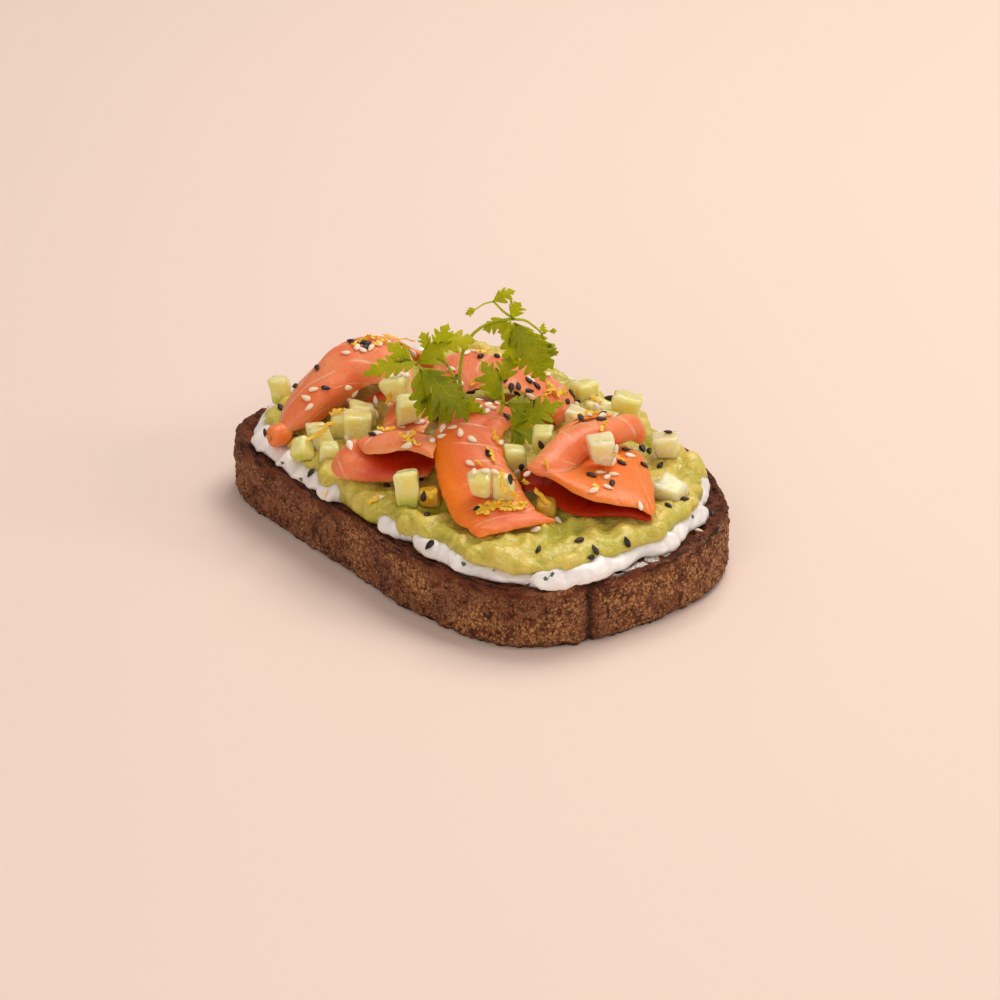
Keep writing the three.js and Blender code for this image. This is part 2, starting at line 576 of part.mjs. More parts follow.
// The sprig rests on the salmon and is clear of what it passes.
const sprigPlace = new THREE.Matrix4()
  .makeRotationZ(toRadians(SPRIG_TURN))
  .setPosition(...SPRIG_AT);
const sprigPieces = [
  ...STEMS.map(stem),
  ...FRONDS.map(frond),
].map((geometry) => solidOf(geometry.applyMatrix4(sprigPlace)));
const wholeSprig = sprigPieces.reduce((rest, piece) => rest.add(piece));
const sprig = cutBy(wholeSprig, [...grownSalmon, ...grownDice]);

// Small toppings drop straight down and stick to the salmon or the avocado where they land.
const hosts = { mashed_avocado: avocado, ...salmon };

function drop(geometry, x, y, turn, sink) {
  const hit = surfaceBelow(x, y, 100, hosts);
  if (!hit) return;
  const place = hit.point.addScaledVector(hit.normal, -sink);
  const turned = leaning(hit.normal, turn);
  const placing = new THREE.Matrix4().compose(place, turned, new THREE.Vector3(1, 1, 1));
  const topping = solidOf(geometry.clone().applyMatrix4(placing));
  const reach = solidOf(geometry.clone().scale(1.15, 1.15, 1.3).applyMatrix4(placing));
  const neighbours = Object.values(hosts).filter((other) => other !== hosts[hit.name]);
  if ([sprig, cream, ...dice, ...neighbours].some((other) => touches(reach, other))) return;
  const joined = hosts[hit.name].add(topping);
  if (joined.decompose().length === 1) hosts[hit.name] = joined;
}

for (const [x, y, length, turn] of ZEST) drop(zestCurl(length), x, y, toRadians(turn), -0.1);
const goldenAngle = Math.PI * (3 - Math.sqrt(5));
for (const [x, y, radius, count] of SEED_PATCHES) {
  for (let k = 0; k < count; k += 1) {
    const away = radius * Math.sqrt((k + 0.5) / count);
    const angle = k * goldenAngle + x;
    const turn = 2 * Math.PI * hash(k, x, y);
    drop(seed(), x + away * Math.cos(angle), y + away * Math.sin(angle), turn, 0);
  }
}

addPiece('bread_slice', breadSlice(), 0x5a3420, 0.8);
addPiece('cream_cheese', geometryOf(cream), 0xf4f1ec, 0.35);
for (const [name, solid] of Object.entries(hosts)) {
  const isSalmon = name.startsWith('salmon');
  addPiece(name, geometryOf(solid), isSalmon ? 0xee7f55 : 0xc2c860, 0.35);
}
addPiece('chervil_sprig', geometryOf(sprig), 0x7f9a35, 0.55);

export default object;
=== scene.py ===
import math
import random

import bpy
import numpy as np
from mathutils import Matrix, Vector, noise
from mathutils.bvhtree import BVHTree


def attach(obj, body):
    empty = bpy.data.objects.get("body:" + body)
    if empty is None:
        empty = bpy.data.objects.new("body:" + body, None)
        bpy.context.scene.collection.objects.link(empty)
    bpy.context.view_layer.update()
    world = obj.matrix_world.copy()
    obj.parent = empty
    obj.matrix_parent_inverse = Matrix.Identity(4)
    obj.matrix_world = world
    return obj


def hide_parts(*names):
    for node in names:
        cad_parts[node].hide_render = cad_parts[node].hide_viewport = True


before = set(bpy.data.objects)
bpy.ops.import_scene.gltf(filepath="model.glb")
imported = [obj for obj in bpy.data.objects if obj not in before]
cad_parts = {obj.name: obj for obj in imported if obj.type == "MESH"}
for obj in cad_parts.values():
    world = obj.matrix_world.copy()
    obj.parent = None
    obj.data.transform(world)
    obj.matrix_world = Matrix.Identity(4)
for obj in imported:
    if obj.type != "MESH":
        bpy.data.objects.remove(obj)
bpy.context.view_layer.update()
MM = 0.001

# The camera stands low at the slice's near corner and looks down at it a little.
# It frames a picture of 1000 by 1000 points, so a topping can be set by where it shows there.
PICTURE_MIDDLE = 500
FOCAL_POINTS = 4255
SENSOR = 36
AZIMUTH = math.radians(51)
ELEVATION = math.radians(27)
AIM = Vector((12.1, -8.0, 14.6)) * MM
AWAY_FROM_AIM = 1150 * MM

rightward = Vector((math.cos(AZIMUTH), math.sin(AZIMUTH), 0))
away = Vector((-math.sin(AZIMUTH), math.cos(AZIMUTH), 0))
backward = Vector((0, 0, 1)) * math.sin(ELEVATION) - away * math.cos(ELEVATION)
upward = backward.cross(rightward)
eye = AIM + backward * AWAY_FROM_AIM

turned_to_aim = Matrix((rightward, upward, backward)).transposed().to_euler()
bpy.ops.object.camera_add(location=eye, rotation=turned_to_aim)
camera = bpy.context.object
camera.data.sensor_width = SENSOR
camera.data.lens = SENSOR * FOCAL_POINTS / (2 * PICTURE_MIDDLE)
bpy.context.scene.camera = camera


def sight(across, down):
    """The direction from the camera through a point of the picture."""
    ahead = rightward * (across - PICTURE_MIDDLE) + upward * (PICTURE_MIDDLE - down)
    return (ahead - backward * FOCAL_POINTS).normalized()


def seen_at_height(across, down, height):
    """Where the line of sight through a point of the picture is at a height in millimetres."""
    ray = sight(across, down)
    return (eye + ray * ((height * MM - eye.z) / ray.z)) / MM


def seen_at_depth(across, down, origin, depth):
    """Where a line of sight meets the upright plane that lies depth millimetres behind origin."""
    ray = sight(across, down)
    wanted = origin.dot(away) + depth - eye.dot(away) / MM
    return eye / MM + ray * (wanted / ray.dot(away))


# Plain soft studio light: a wide box overhead and a little behind, a dimmer one in front,
# a small bright one that gives the wet toppings their glints, and a warm room.
def soft_box(name, right, depth, height, side, power, colour):
    """A square light: how far right of, behind and above the aim it hangs, and its side, in metres."""
    spot = AIM + rightward * right + away * depth + Vector((0, 0, height))
    facing = (spot - AIM).to_track_quat("Z", "Y").to_euler()
    bpy.ops.object.light_add(type="AREA", location=spot, rotation=facing)
    box = bpy.context.object
    box.name = name
    box.data.shape = "SQUARE"
    box.data.size = side
    box.data.energy = power
    box.data.color = colour


soft_box("overhead_box", 0.30, 0.45, 0.95, 0.70, 8.2, (1.0, 0.95, 0.90))
soft_box("front_box", -0.25, -0.95, 0.60, 0.70, 4.2, (1.0, 0.92, 0.86))
soft_box("side_box", 0.95, -0.25, 0.55, 0.30, 2.3, (1.0, 0.95, 0.90))

ROOM_COLOUR = (1.0, 0.90, 0.85, 1)
ROOM_STRENGTH = 0.32
room = bpy.data.worlds.new("room")
room.use_nodes = True
room.node_tree.nodes["Background"].inputs["Color"].default_value = ROOM_COLOUR
room.node_tree.nodes["Background"].inputs["Strength"].default_value = ROOM_STRENGTH
bpy.context.scene.world = room
bpy.context.scene.view_settings.view_transform = "Standard"


# A pale, warm table top that runs out of the picture on all sides. Its finish is the first, so
# the way in which all the finishes are mixed is set out here.
TABLE_SIDE = 8


class Signal:
    """A shader socket that takes part in sums. Each sum adds its Math node."""

    def __init__(self, finish, socket):
        self.finish = finish
        self.socket = socket

    def math(self, operation, first, second):
        return self.finish.add("ShaderNodeMath", {"operation": operation}, {0: first, 1: second})

    def __add__(self, other):
        return self.math("ADD", self, other)

    def __sub__(self, other):
        return self.math("SUBTRACT", self, other)

    def __rsub__(self, other):
        return self.math("SUBTRACT", other, self)

    def __mul__(self, other):
        return self.math("MULTIPLY", self, other)

    __radd__ = __add__
    __rmul__ = __mul__

    def step(self, low, high):
        """0 below low, 1 above high and smooth between them, or the other way round."""
        ends = {"Value": self, "From Min": low, "From Max": high}
        return self.finish.add("ShaderNodeMapRange", {"interpolation_type": "SMOOTHSTEP"}, ends)


class Finish:
    """A procedural material in the object's own metres."""

    def __init__(self, name, **constants):
        self.material = bpy.data.materials.new(name)
        self.material.use_nodes = True
        self.tree = self.material.node_tree
        self.shader = self.tree.nodes["Principled BSDF"]
        self.wear(**constants)
        self.place = self.add("ShaderNodeTexCoord", output="Object")

    def feed(self, node, values):
        for key, value in values.items():
            socket = node.inputs[key]
            if isinstance(value, Signal):
                self.tree.links.new(value.socket, socket)
            elif socket.type == "RGBA":
                socket.default_value = (*value, 1)
            else:
                socket.default_value = value

    def add(self, kind, settings=None, values=None, output=0):
        node = self.tree.nodes.new(kind)
        for key, value in (settings or {}).items():
            setattr(node, key, value)
        self.feed(node, values or {})
        return Signal(self, node.outputs[output])

    def swirl(self, size, detail=2.0, rough=0.5, where=None):
        """Noise from 0 to 1 with swells about as wide as size, in metres."""
        values = {"Vector": where or self.place, "Scale": 1 / size, "Detail": detail, "Roughness": rough}
        return self.add("ShaderNodeTexNoise", {}, values)

    def cells(self, size, where=None):
        """How far a point is from the nearest of many scattered spots."""
        values = {"Vector": where or self.place, "Scale": 1 / size}
        return self.add("ShaderNodeTexVoronoi", {}, values, "Distance")

    def stretched(self, *scale):
        """The place, squeezed or drawn out along each axis."""
        return self.add("ShaderNodeMapping", {}, {"Vector": self.place, "Scale": scale})

    def stored(self, name):
        """A value that the mesh carries at each of its points."""
        return self.add("ShaderNodeAttribute", {"attribute_name": name}, output="Fac")

    def mix(self, share, first, second):
        colours = {0: share, 6: first, 7: second}
        return self.add("ShaderNodeMix", {"data_type": "RGBA"}, colours, 2)

    def coats(self, shade, *coats):
        """A shade with others laid over it in turn, each by its share."""
        for share, colour in coats:
            shade = self.mix(share, shade, colour)
        return shade

    def dents(self, height, depth, strength):
        return self.add("ShaderNodeBump", {}, {"Height": height, "Distance": depth, "Strength": strength})

    def wear(self, **values):
        """Sets or links the shader's sockets, named with _ for each space."""
        self.feed(self.shader, {key.replace("_", " "): value for key, value in values.items()})
        return self.material


table_finish = Finish("pale_table", Roughness=0.7, Specular_IOR_Level=0.2)
table_shade = table_finish.mix(table_finish.swirl(0.4), (0.86, 0.69, 0.60), (0.88, 0.71, 0.625))
table_finish.wear(Base_Color=table_shade)
bpy.ops.mesh.primitive_plane_add(size=TABLE_SIDE, location=(0, 0, 0))
table = bpy.context.object
table.name = "table"
table.data.materials.append(table_finish.material)


# The bread: one slice of a dense dark rye loaf, 18 mm thick, toasted on its cut faces.
# The crust is dry, floury and pitted, with one crease, and chipped where the knife left it.
SLICE_LENGTH = 144
SLICE_WIDTH = 98
SLICE_THICKNESS = 17.7
CRUMB_HEIGHT = 17.0
BOTTOM_RINGS = 12
BREAD_STEPS = 760
# Angles round the slice: its roundest corner, the crease, the two blunt ends and the fullest part.
ROUNDEST_AT = math.radians(36)
CREASE_AT = math.radians(-19)
BLUNT_LEFT_AT = math.radians(213)
BLUNT_RIGHT_AT = 0.2
FULLEST_AT = -1.0
# Where the picture shows a thin smear of the white spread on the crumb.
SMEARED = [(617, 573), (628, 567), (640, 562), (652, 556), (664, 549)]


def only(piece):
    """Selects one piece, so that an operator acts on nothing else."""
    bpy.ops.object.select_all(action="DESELECT")
    piece.select_set(True)
    bpy.context.view_layer.objects.active = piece


def netting(name, columns, rows):
    """A flat grid to be shaped, and how far along and across it each of its points is."""
    bpy.ops.object.select_all(action="DESELECT")
    bpy.ops.mesh.primitive_grid_add(x_subdivisions=columns, y_subdivisions=rows, size=1)
    piece = bpy.context.object
    piece.name = piece.data.name = name
    along, across, _ = points_of(piece).T * MM + 0.5
    return piece, along, across


def points_of(piece, field="co"):
    """A piece's points in millimetres, or with field "normal" its unit normals."""
    found = np.empty(3 * len(piece.data.vertices))
    piece.data.vertices.foreach_get(field, found)
    return found.reshape(-1, 3) * (1 if field == "normal" else 1 / MM)


def shape(piece, points):
    piece.data.vertices.foreach_set("co", (np.asarray(points) * MM).ravel())
    piece.data.update()


def store(piece, name, values):
    piece.data.attributes.new(name, "FLOAT", "POINT").data.foreach_set("value", values)


def stored(piece, name):
    values = np.empty(len(piece.data.vertices))
    piece.data.attributes[name].data.foreach_get("value", values)
    return values


def weld(piece):
    """Merges doubled points, turns all faces outwards and shades them smooth."""
    only(piece)
    bpy.ops.object.mode_set(mode="EDIT")
    bpy.ops.mesh.select_all(action="SELECT")
    bpy.ops.mesh.remove_doubles(threshold=0.001 * MM)
    bpy.ops.mesh.normals_make_consistent(inside=False)
    bpy.ops.object.mode_set(mode="OBJECT")
    bpy.ops.object.shade_smooth()


def shifted(points, size, seed):
    """The points in sizes, moved to the seed's own part of the noise."""
    shift = Vector((seed * 3.1, seed * 1.7, seed * 2.3))
    return [Vector(point) + shift for point in points / size]


def lumps(points, size, seed):
    """Smooth random relief between -1 and 1, with swells about as wide as size."""
    return np.array([noise.noise(point) for point in shifted(points, size, seed)])


def spots(points, size, seed, radius):
    """Round spots about a size apart: 1 at the middle of each, and 0 past its radius, in sizes."""
    apart = np.array([noise.voronoi(point)[0][0] for point in shifted(points, size, seed)])
    return np.clip(1 - (apart / radius) ** 2, 0, 1)


def smooth_step(values, low, high):
    share = np.clip((values - low) / (high - low), 0, 1)
    return share * share * (3 - 2 * share)


def slice_radius(angle):
    squareness = 4 - 1.5 * np.cos(angle - ROUNDEST_AT)
    along = np.abs(np.cos(angle) / (SLICE_LENGTH / 2)) ** squareness
    across = np.abs(np.sin(angle) / (SLICE_WIDTH / 2)) ** squareness
    return (along + across) ** (-1 / squareness)


def turned(name, profile, steps, radius_at):
    """A closed body fitted to an outline, from a profile of shares of its radius and heights."""
    profile = np.array(profile, float)
    piece, along, across = netting(name, steps, len(profile) - 1)
    ring = np.rint(across * (len(profile) - 1)).astype(int)
    angle = 2 * math.pi * along
    share, height = profile[ring].T
    radius = share * radius_at(angle)
    shape(piece, np.column_stack([radius * np.cos(angle), radius * np.sin(angle), height]))
    store(piece, "share", share)
    return piece, ring


def crust_radius(angle):
    turn = (angle - CREASE_AT + math.pi) % (2 * math.pi) - math.pi
    crease = 1.5 * np.exp(-((turn / 0.024) ** 2)) - 0.6 * np.exp(-((turn / 0.10) ** 2))
    wave = 0.35 * np.sin(5 * angle + 1) + 0.3 * np.sin(11 * angle + 2)
    blunt_left = 1.5 * smooth_step(np.cos(angle - BLUNT_LEFT_AT), 0.80, 1)
    blunt_right = 1.3 * smooth_step(np.cos(angle - BLUNT_RIGHT_AT), 0.75, 1)
    full_front = 0.8 * smooth_step(np.cos(angle - FULLEST_AT), 0.75, 1)
    return slice_radius(angle) + wave - crease - blunt_left - blunt_right + full_front


bread_profile = [(share, 0.15) for share in np.linspace(0, 0.96, BOTTOM_RINGS)]
bread_profile += [(0.972, 0.0), (0.984, 0.3), (0.992, 0.8), (0.997, 1.4)]
bread_profile += [(1 + 0.003 * math.sin(height / 4), height) for height in np.arange(1.9, 15.9, 0.42)]
bread_profile += [(0.9995, 16.3), (0.998, 16.8), (0.994, 17.25), (0.989, 17.6)]
side_rings = len(bread_profile) - 2
bread_profile += [(0.983, SLICE_THICKNESS), (0.977, 17.6), (0.971, 17.3), (0.965, 17.05)]
bread_profile += [(share, CRUMB_HEIGHT) for share in np.arange(0.958, 0.78, -0.0065)]
bread_profile += [(share, CRUMB_HEIGHT) for share in (0.75, 0.6, 0.4, 0.2, 0)]
bread, bread_ring = turned("dark_rye_slice", bread_profile, BREAD_STEPS, crust_radius)
cut_face = smooth_step(bread_ring, side_rings, side_rings + 4) + (bread_ring < BOTTOM_RINGS)
store(bread, "cut_face", cut_face)
weld(bread)

points = points_of(bread)
normals = points_of(bread, "normal")
cut_face = stored(bread, "cut_face")
# Flour lies on the crust, more towards the front. The extra flour at the right end is painted light, as
# that end is lit from the right.
front = smooth_step(points[:, 0], -30, 20)
right_end = smooth_step(points[:, 1], -26, 0) * smooth_step(points[:, 0], 30, 60)
flour_and_painted_light = smooth_step(lumps(points, 13, 4) + 0.60 * right_end, -0.25, 0.25) * (0.35 + 0.65 * front)
blister = spots(points, 2.2, 1, 0.55)
pits = spots(points, 3.0, 2, 0.34)
crust_relief = 0.40 * lumps(points, 8, 1) + 0.34 * lumps(points, 2.8, 2)
crust_relief += 0.45 * lumps(points, 1.2, 3) + 0.30 * blister * flour_and_painted_light - 0.55 * pits
pores = spots(points, 2.3, 5, 0.42)
crumb_relief = 0.5 * lumps(points, 4.5, 6) + 0.34 * lumps(points, 1.1, 7) - 0.75 * pores
chipped = np.clip(lumps(points, 3.2, 8) - 0.05, 0, 1) * smooth_step(points[:, 2], 2.2, 0.3)
on_top = points[:, 2] > SLICE_THICKNESS / 2
relief = crust_relief * (1 - cut_face) + np.where(on_top, crumb_relief, 0.2 * crumb_relief) * cut_face
relief = np.where(points[:, 2] < 0.2, np.minimum(relief * 0.3, 0), relief - 1.6 * chipped)
moved = points + normals * relief[:, None]
moved[:, 2] = np.clip(moved[:, 2], 0, None)
store(bread, "flour_and_painted_light", flour_and_painted_light)
turn = np.arctan2(points[:, 1], points[:, 0]) - CREASE_AT
# Painted shade: the crust is darkened in its crease.
store(bread, "crease_shade", np.exp(-((turn / 0.016) ** 2)) * (1 - cut_face))
# Where the crumb's pores and the crust's pits are. The crumb's finish paints its pores darker, as painted
# shade.
store(bread, "pitted", np.where(cut_face > 0.5, pores, pits))
smeared = np.zeros(len(points))
for across, down in SMEARED:
    spot = seen_at_height(across, down, SLICE_THICKNESS)
    smeared = np.maximum(smeared, np.exp(-(((points[:, :2] - spot[:2]) ** 2).sum(axis=1) / 4)))
store(bread, "smeared", smeared * on_top)
shape(bread, moved)

rye = Finish("rye_crust", Specular_IOR_Level=0.25)
height_here = rye.add("ShaderNodeSeparateXYZ", {}, {"Vector": rye.place}, "Z")
drift = rye.add("ShaderNodeTexNoise", {}, {"Vector": rye.place, "Scale": 900.0, "Detail": 3.0}, "Color")
strayed = {0: drift, 1: (0.0014, 0.0014, 0.0014), 2: rye.place}
strayed = rye.add("ShaderNodeVectorMath", {"operation": "MULTIPLY_ADD"}, strayed)
mottle = rye.swirl(0.0065, 6, 0.65)
grain = rye.swirl(0.0011, 5, 0.7)
clumps = rye.swirl(0.0030, 5, 0.65)
grit = rye.cells(0.0010, strayed)
fine_grit_and_glints = rye.cells(0.0006, strayed)
plates = rye.swirl(0.0048, 4, 0.6).step(0.53, 0.59)
flour = rye.stored("flour_and_painted_light") * grit.step(0.60, 0.34) * clumps.step(0.38, 0.52)
toasted = height_here.step(0.0136, 0.0162) * mottle.step(0.66, 0.42)
layered = rye.swirl(0.0009, 3, 0.5, rye.stretched(0.14, 0.14, 1.0)).step(0.50, 0.40)
scorch = layered * height_here.step(0.0140, 0.0160) + height_here.step(0.0166, 0.0175) * 0.5
crust_shade = rye.coats(
    (0.085, 0.021, 0.007),
    (mottle.step(0.36, 0.64), (0.230, 0.066, 0.022)),
    (clumps.step(0.44, 0.58) * 0.8, (0.33, 0.115, 0.044)),
    (plates * 0.6, (0.37, 0.150, 0.060)),
    (grit.step(0.48, 0.24) * grain.step(0.42, 0.54) * 0.85, (0.50, 0.215, 0.100)),
    # Real flour, with painted light at the front and right end of the crust.
    (flour, (0.70, 0.34, 0.125)),
    # Pale specks: partly real pale grits, partly painted highlights that stand in for glints.
    (fine_grit_and_glints.step(0.26, 0.14) * grain.step(0.44, 0.58) * 0.7, (0.82, 0.52, 0.32)),
    (grain.step(0.47, 0.37) * 0.9, (0.030, 0.009, 0.004)),
    (toasted * 0.8, (0.190, 0.036, 0.009)),
    (scorch * 0.8, (0.040, 0.010, 0.004)),
    # Painted shade in the crease.
    (rye.stored("crease_shade") * 0.85, (0.030, 0.009, 0.004)),
    # Painted shade: the crust is darkened at its foot, where it meets the table.
    (height_here.step(0.0016, 0.0), (0.045, 0.016, 0.009)),
)
crumb_swell = rye.swirl(0.0042, 5, 0.6).step(0.35, 0.68)
left_on = rye.stored("smeared") * 1.2 + rye.swirl(0.0030, 3, 0.5) * 0.5
under_swell = rye.swirl(0.003, 5, 0.6).step(0.35, 0.68)
under_shade = rye.mix(under_swell, (0.12, 0.045, 0.022), (0.26, 0.12, 0.06))
crumb_shade = rye.coats(
    (0.070, 0.017, 0.007),
    (crumb_swell, (0.290, 0.075, 0.024)),
    (rye.swirl(0.0008, 3).step(0.55, 0.75) * 0.55, (0.40, 0.15, 0.06)),
    # Painted shade in the crumb's pores.
    (rye.stored("pitted") * 0.8, (0.030, 0.008, 0.004)),
    (left_on.step(0.66, 0.84), (0.93, 0.86, 0.80)),
    (height_here.step(0.003, 0.001), under_shade),
)
bread_shade = rye.mix(rye.stored("cut_face"), crust_shade, crumb_shade)
fine_relief = grain + grit.step(0.60, 0.10) * 0.7 + rye.swirl(0.0004, 3, 0.6) * 0.5 + clumps
rye.wear(
    Base_Color=bread_shade,
    Roughness=0.74 - mottle.step(0.4, 0.7) * 0.25,
    Normal=rye.dents(fine_relief, 0.0009, 0.9),
)
bread.data.materials.append(rye.material)
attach(bread, "root")
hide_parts("bread_slice")

# The cream cheese: a soft white spread laid on with a knife, thicker in rolls at its edge.
# It has small flecks of dark green herbs.
CREAM_BOTTOM = 17.4
CREAM_TOP = 21.2
CREAM_STEPS = 720
# Where the picture shows a fleck, besides the many that are scattered.
HERB_FLECKS = [
    (464, 562), (553, 574), (527, 585), (546, 577), (281, 462), (300, 480), (694, 516), (402, 528),
]
SMOOTH_END = math.radians(215)
# How far the spread stays inside the crust, in millimetres, every 15 degrees round the slice.
CREAM_INSET = [
    4.8, 6.4, 7.4, 7, 6, 4, 3, 2.5, 3.5, 4, 3, 2,
    1.2, 1.6, 7.6, 4.6, 1.6, 2.2, 3.4, 2.2, 2.5, 1.5, 0.9, 2.6,
]


def round_the_slice(values, angle):
    """A value that changes smoothly round the slice, from one given every 15 degrees."""
    step = (angle / (2 * math.pi)) * len(values)
    first = np.floor(step).astype(int)
    share = step - first
    share = share * share * (3 - 2 * share)
    values = np.array(values, float)
    return values[first % len(values)] * (1 - share) + values[(first + 1) % len(values)] * share


def knife_marks(angle):
    """How rough the knife left the spread: at the left end one long stroke made it smooth."""
    return 0.3 + 0.7 * smooth_step(-np.cos(angle - SMOOTH_END), -0.95, -0.75)


def cream_radius(angle):
    folds = 0.7 * np.sin(13 * angle + 0.6) + 0.6 * np.sin(23 * angle) + 0.4 * np.sin(37 * angle + 1)
    return slice_radius(angle) - round_the_slice(CREAM_INSET, angle) + folds * knife_marks(angle)


cream_profile = [(share, CREAM_BOTTOM) for share in (0, 0.5, 0.8, 0.93)]
cream_profile += [(0.965, 17.3), (0.985, 17.4), (0.996, 17.8), (1.003, 18.3), (1.006, 18.8)]
cream_profile += [(1.005, 19.3), (1.000, 19.8), (0.992, 20.3), (0.982, 20.7), (0.971, 21.0)]
cream_profile += [(share, CREAM_TOP) for share in np.arange(0.96, 0.76, -0.0075)]
cream_profile += [(share, CREAM_TOP) for share in (0.74, 0.5, 0.25, 0)]
cream, _ = turned("cream_cheese_spread", cream_profile, CREAM_STEPS, cream_radius)
weld(cream)
points = points_of(cream)
radius = np.hypot(points[:, 0], points[:, 1])
spun = np.arctan2(points[:, 1], points[:, 0])
stroke = np.column_stack([18 * np.cos(spun), 18 * np.sin(spun), radius * 0.9]) + points * [0, 0, 0.8]
relief = 0.8 * lumps(stroke, 4.0, 14) + 0.30 * lumps(points, 2.4, 18)
relief += 0.35 * smooth_step(np.abs(lumps(points, 4.0, 19)), 0.0, 0.3)
relief *= knife_marks(spun)
relief += 1.1 * smooth_step(1 - np.abs(lumps(stroke, 6.0, 17)), 0.72, 1.0) - 0.3
relief += 0.7 * lumps(points, 7.5, 15) + 0.5 * lumps(points, 15, 16)
relief *= smooth_step(points[:, 2], 17.3, 18.6)
shape(cream, points + points_of(cream, "normal") * relief[:, None])
points = points_of(cream)
herby = np.zeros(len(points))
for across, down in HERB_FLECKS:
    ray = np.array(sight(across, down))
    from_eye = points - np.array(eye) / MM
    ahead = from_eye @ ray
    beside = np.linalg.norm(from_eye - ahead[:, None] * ray, axis=1)
    spot = points[np.where(beside < 0.6, ahead, np.inf).argmin()]
    herby = np.maximum(herby, np.exp(-(((points - spot) ** 2).sum(axis=1) / 0.7)))
store(cream, "herby", herby)

curd = Finish(
    "cream_cheese", Roughness=0.32, Subsurface_Weight=0.45, Subsurface_Scale=0.004,
    Subsurface_Radius=(1.0, 0.75, 0.6), Coat_Weight=0.15, Coat_Roughness=0.2,
)
whey = curd.swirl(0.004, 4, 0.6).step(0.60, 0.74)
fleck = curd.cells(0.0062).step(0.085, 0.045) * curd.swirl(0.011).step(0.50, 0.56)
herb = (curd.stored("herby") + curd.swirl(0.0009, 3) * 0.8).step(0.85, 1.0)
milky = curd.coats(
    (0.87, 0.79, 0.75),
    (curd.swirl(0.007, 3).step(0.3, 0.7), (0.94, 0.88, 0.84)),
    (whey * 0.4, (0.70, 0.62, 0.55)),
    (fleck * 0.9, (0.10, 0.17, 0.12)),
    (herb * 0.95, (0.045, 0.09, 0.045)),
)
curd.wear(Base_Color=milky, Normal=curd.dents(curd.swirl(0.0016, 4, 0.55), 0.0004, 0.5))
cream.data.materials.append(curd.material)
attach(cream, "root")
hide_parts("cream_cheese")

# The avocado: ripe flesh mashed with a fork and heaped over the cream cheese, wet and lumpy,
# with hollows where the fork lifted and lobes where it was pushed towards the edge.
AVOCADO_BOTTOM = 19.6
AVOCADO_TOP = 24.4
HEAP_RISE = 3
AVOCADO_STEPS = 620
# How far the mash stays inside the crust, in millimetres, every 15 degrees round the slice.
AVOCADO_INSET = [
    6.6, 9.4, 7.0, 6.4, 7.2, 3.8, 4, 5, 4.5, 5.5, 6, 8,
    8, 8.0, 12.0, 8.6, 5.6, 1.9, 0.8, 3.0, 3.5, 3.0, 3.6, 4.6,
]
# Hollows and raised dabs that show in front: across and down the picture, radius, rise.
FORK_MARKS = [
    (568, 530, 2.4, -1.7), (558, 535, 2.0, -1.5), (484, 521, 2.6, -2.2), (493, 524, 2.2, -1.6),
    (578, 526, 2.0, -1.6), (545, 532, 1.8, 1.7), (572, 522, 2.0, 1.6), (527, 541, 1.8, 1.0),
    (508, 537, 2.4, 1.3), (497, 551, 2.6, 0.9), (540, 528, 2.2, 1.6), (592, 524, 3.0, 0.9),
    (576, 541, 2.2, 1.4), (560, 546, 2.2, 1.2), (592, 534, 2.2, 0.9),
    (432, 508, 4.0, -1.4), (455, 503, 2.5, -1.2), (620, 533, 3.0, 0.7), (352, 505, 3.0, 0.9),
    (330, 490, 2.5, 0.8), (385, 497, 3.0, -0.9), (405, 515, 3.0, 0.8), (672, 525, 3.0, 0.6),
    (690, 480, 3.0, 0.8), (652, 545, 2.4, -0.8), (296, 448, 3.0, 0.8),
]


def avocado_radius(angle):
    lobes = 0.9 * np.sin(9 * angle + 0.4) + 0.5 * np.sin(17 * angle + 2) + 0.35 * np.sin(29 * angle)
    return slice_radius(angle) - round_the_slice(AVOCADO_INSET, angle) + lobes


avocado_profile = [(share, AVOCADO_BOTTOM) for share in (0, 0.5, 0.85)]
avocado_profile += [(0.94, 19.7), (0.965, 19.9), (0.982, 20.3), (0.993, 20.8), (1.0, 21.4), (1.003, 22.0)]
avocado_profile += [(1.002, 22.6), (0.997, 23.1), (0.989, 23.6), (0.979, 24.0), (0.968, 24.25)]
avocado_profile += [(0.957, AVOCADO_TOP)]
avocado_profile += [(share, AVOCADO_TOP) for share in np.arange(0.947, 0.3, -0.0095)]
avocado_profile += [(share, AVOCADO_TOP) for share in (0.27, 0.2, 0.1, 0)]
avocado, _ = turned("mashed_avocado_heap", avocado_profile, AVOCADO_STEPS, avocado_radius)
weld(avocado)
points = points_of(avocado)
share = stored(avocado, "share")
upper = smooth_step(points[:, 2], 20, 22.5)
spun = np.arctan2(points[:, 1], points[:, 0])
past_cream = avocado_radius(spun) - cream_radius(spun)
hanging = smooth_step(past_cream, -0.8, 0.8) * smooth_step(share, 0.90, 0.98)
relief = 1.0 * lumps(points, 11, 21) + 0.9 * smooth_step(np.abs(lumps(points, 7.0, 22)), 0, 0.6) - 0.7
relief += 0.70 * lumps(points, 4.2, 25) + 0.38 * smooth_step(np.abs(lumps(points, 3.2, 23)), 0, 0.45)
relief += 0.26 * lumps(points, 1.6, 24) + 0.5 * np.exp(-(((share - 0.93) / 0.05) ** 2))
points += points_of(avocado, "normal") * (relief * upper)[:, None]
points[:, 2] -= 2.6 * hanging * smooth_step(points[:, 2], 24.0, 20.5)
points[:, 2] += HEAP_RISE * (1 - smooth_step(share, 0.15, 0.75)) * (points[:, 2] > CREAM_TOP)
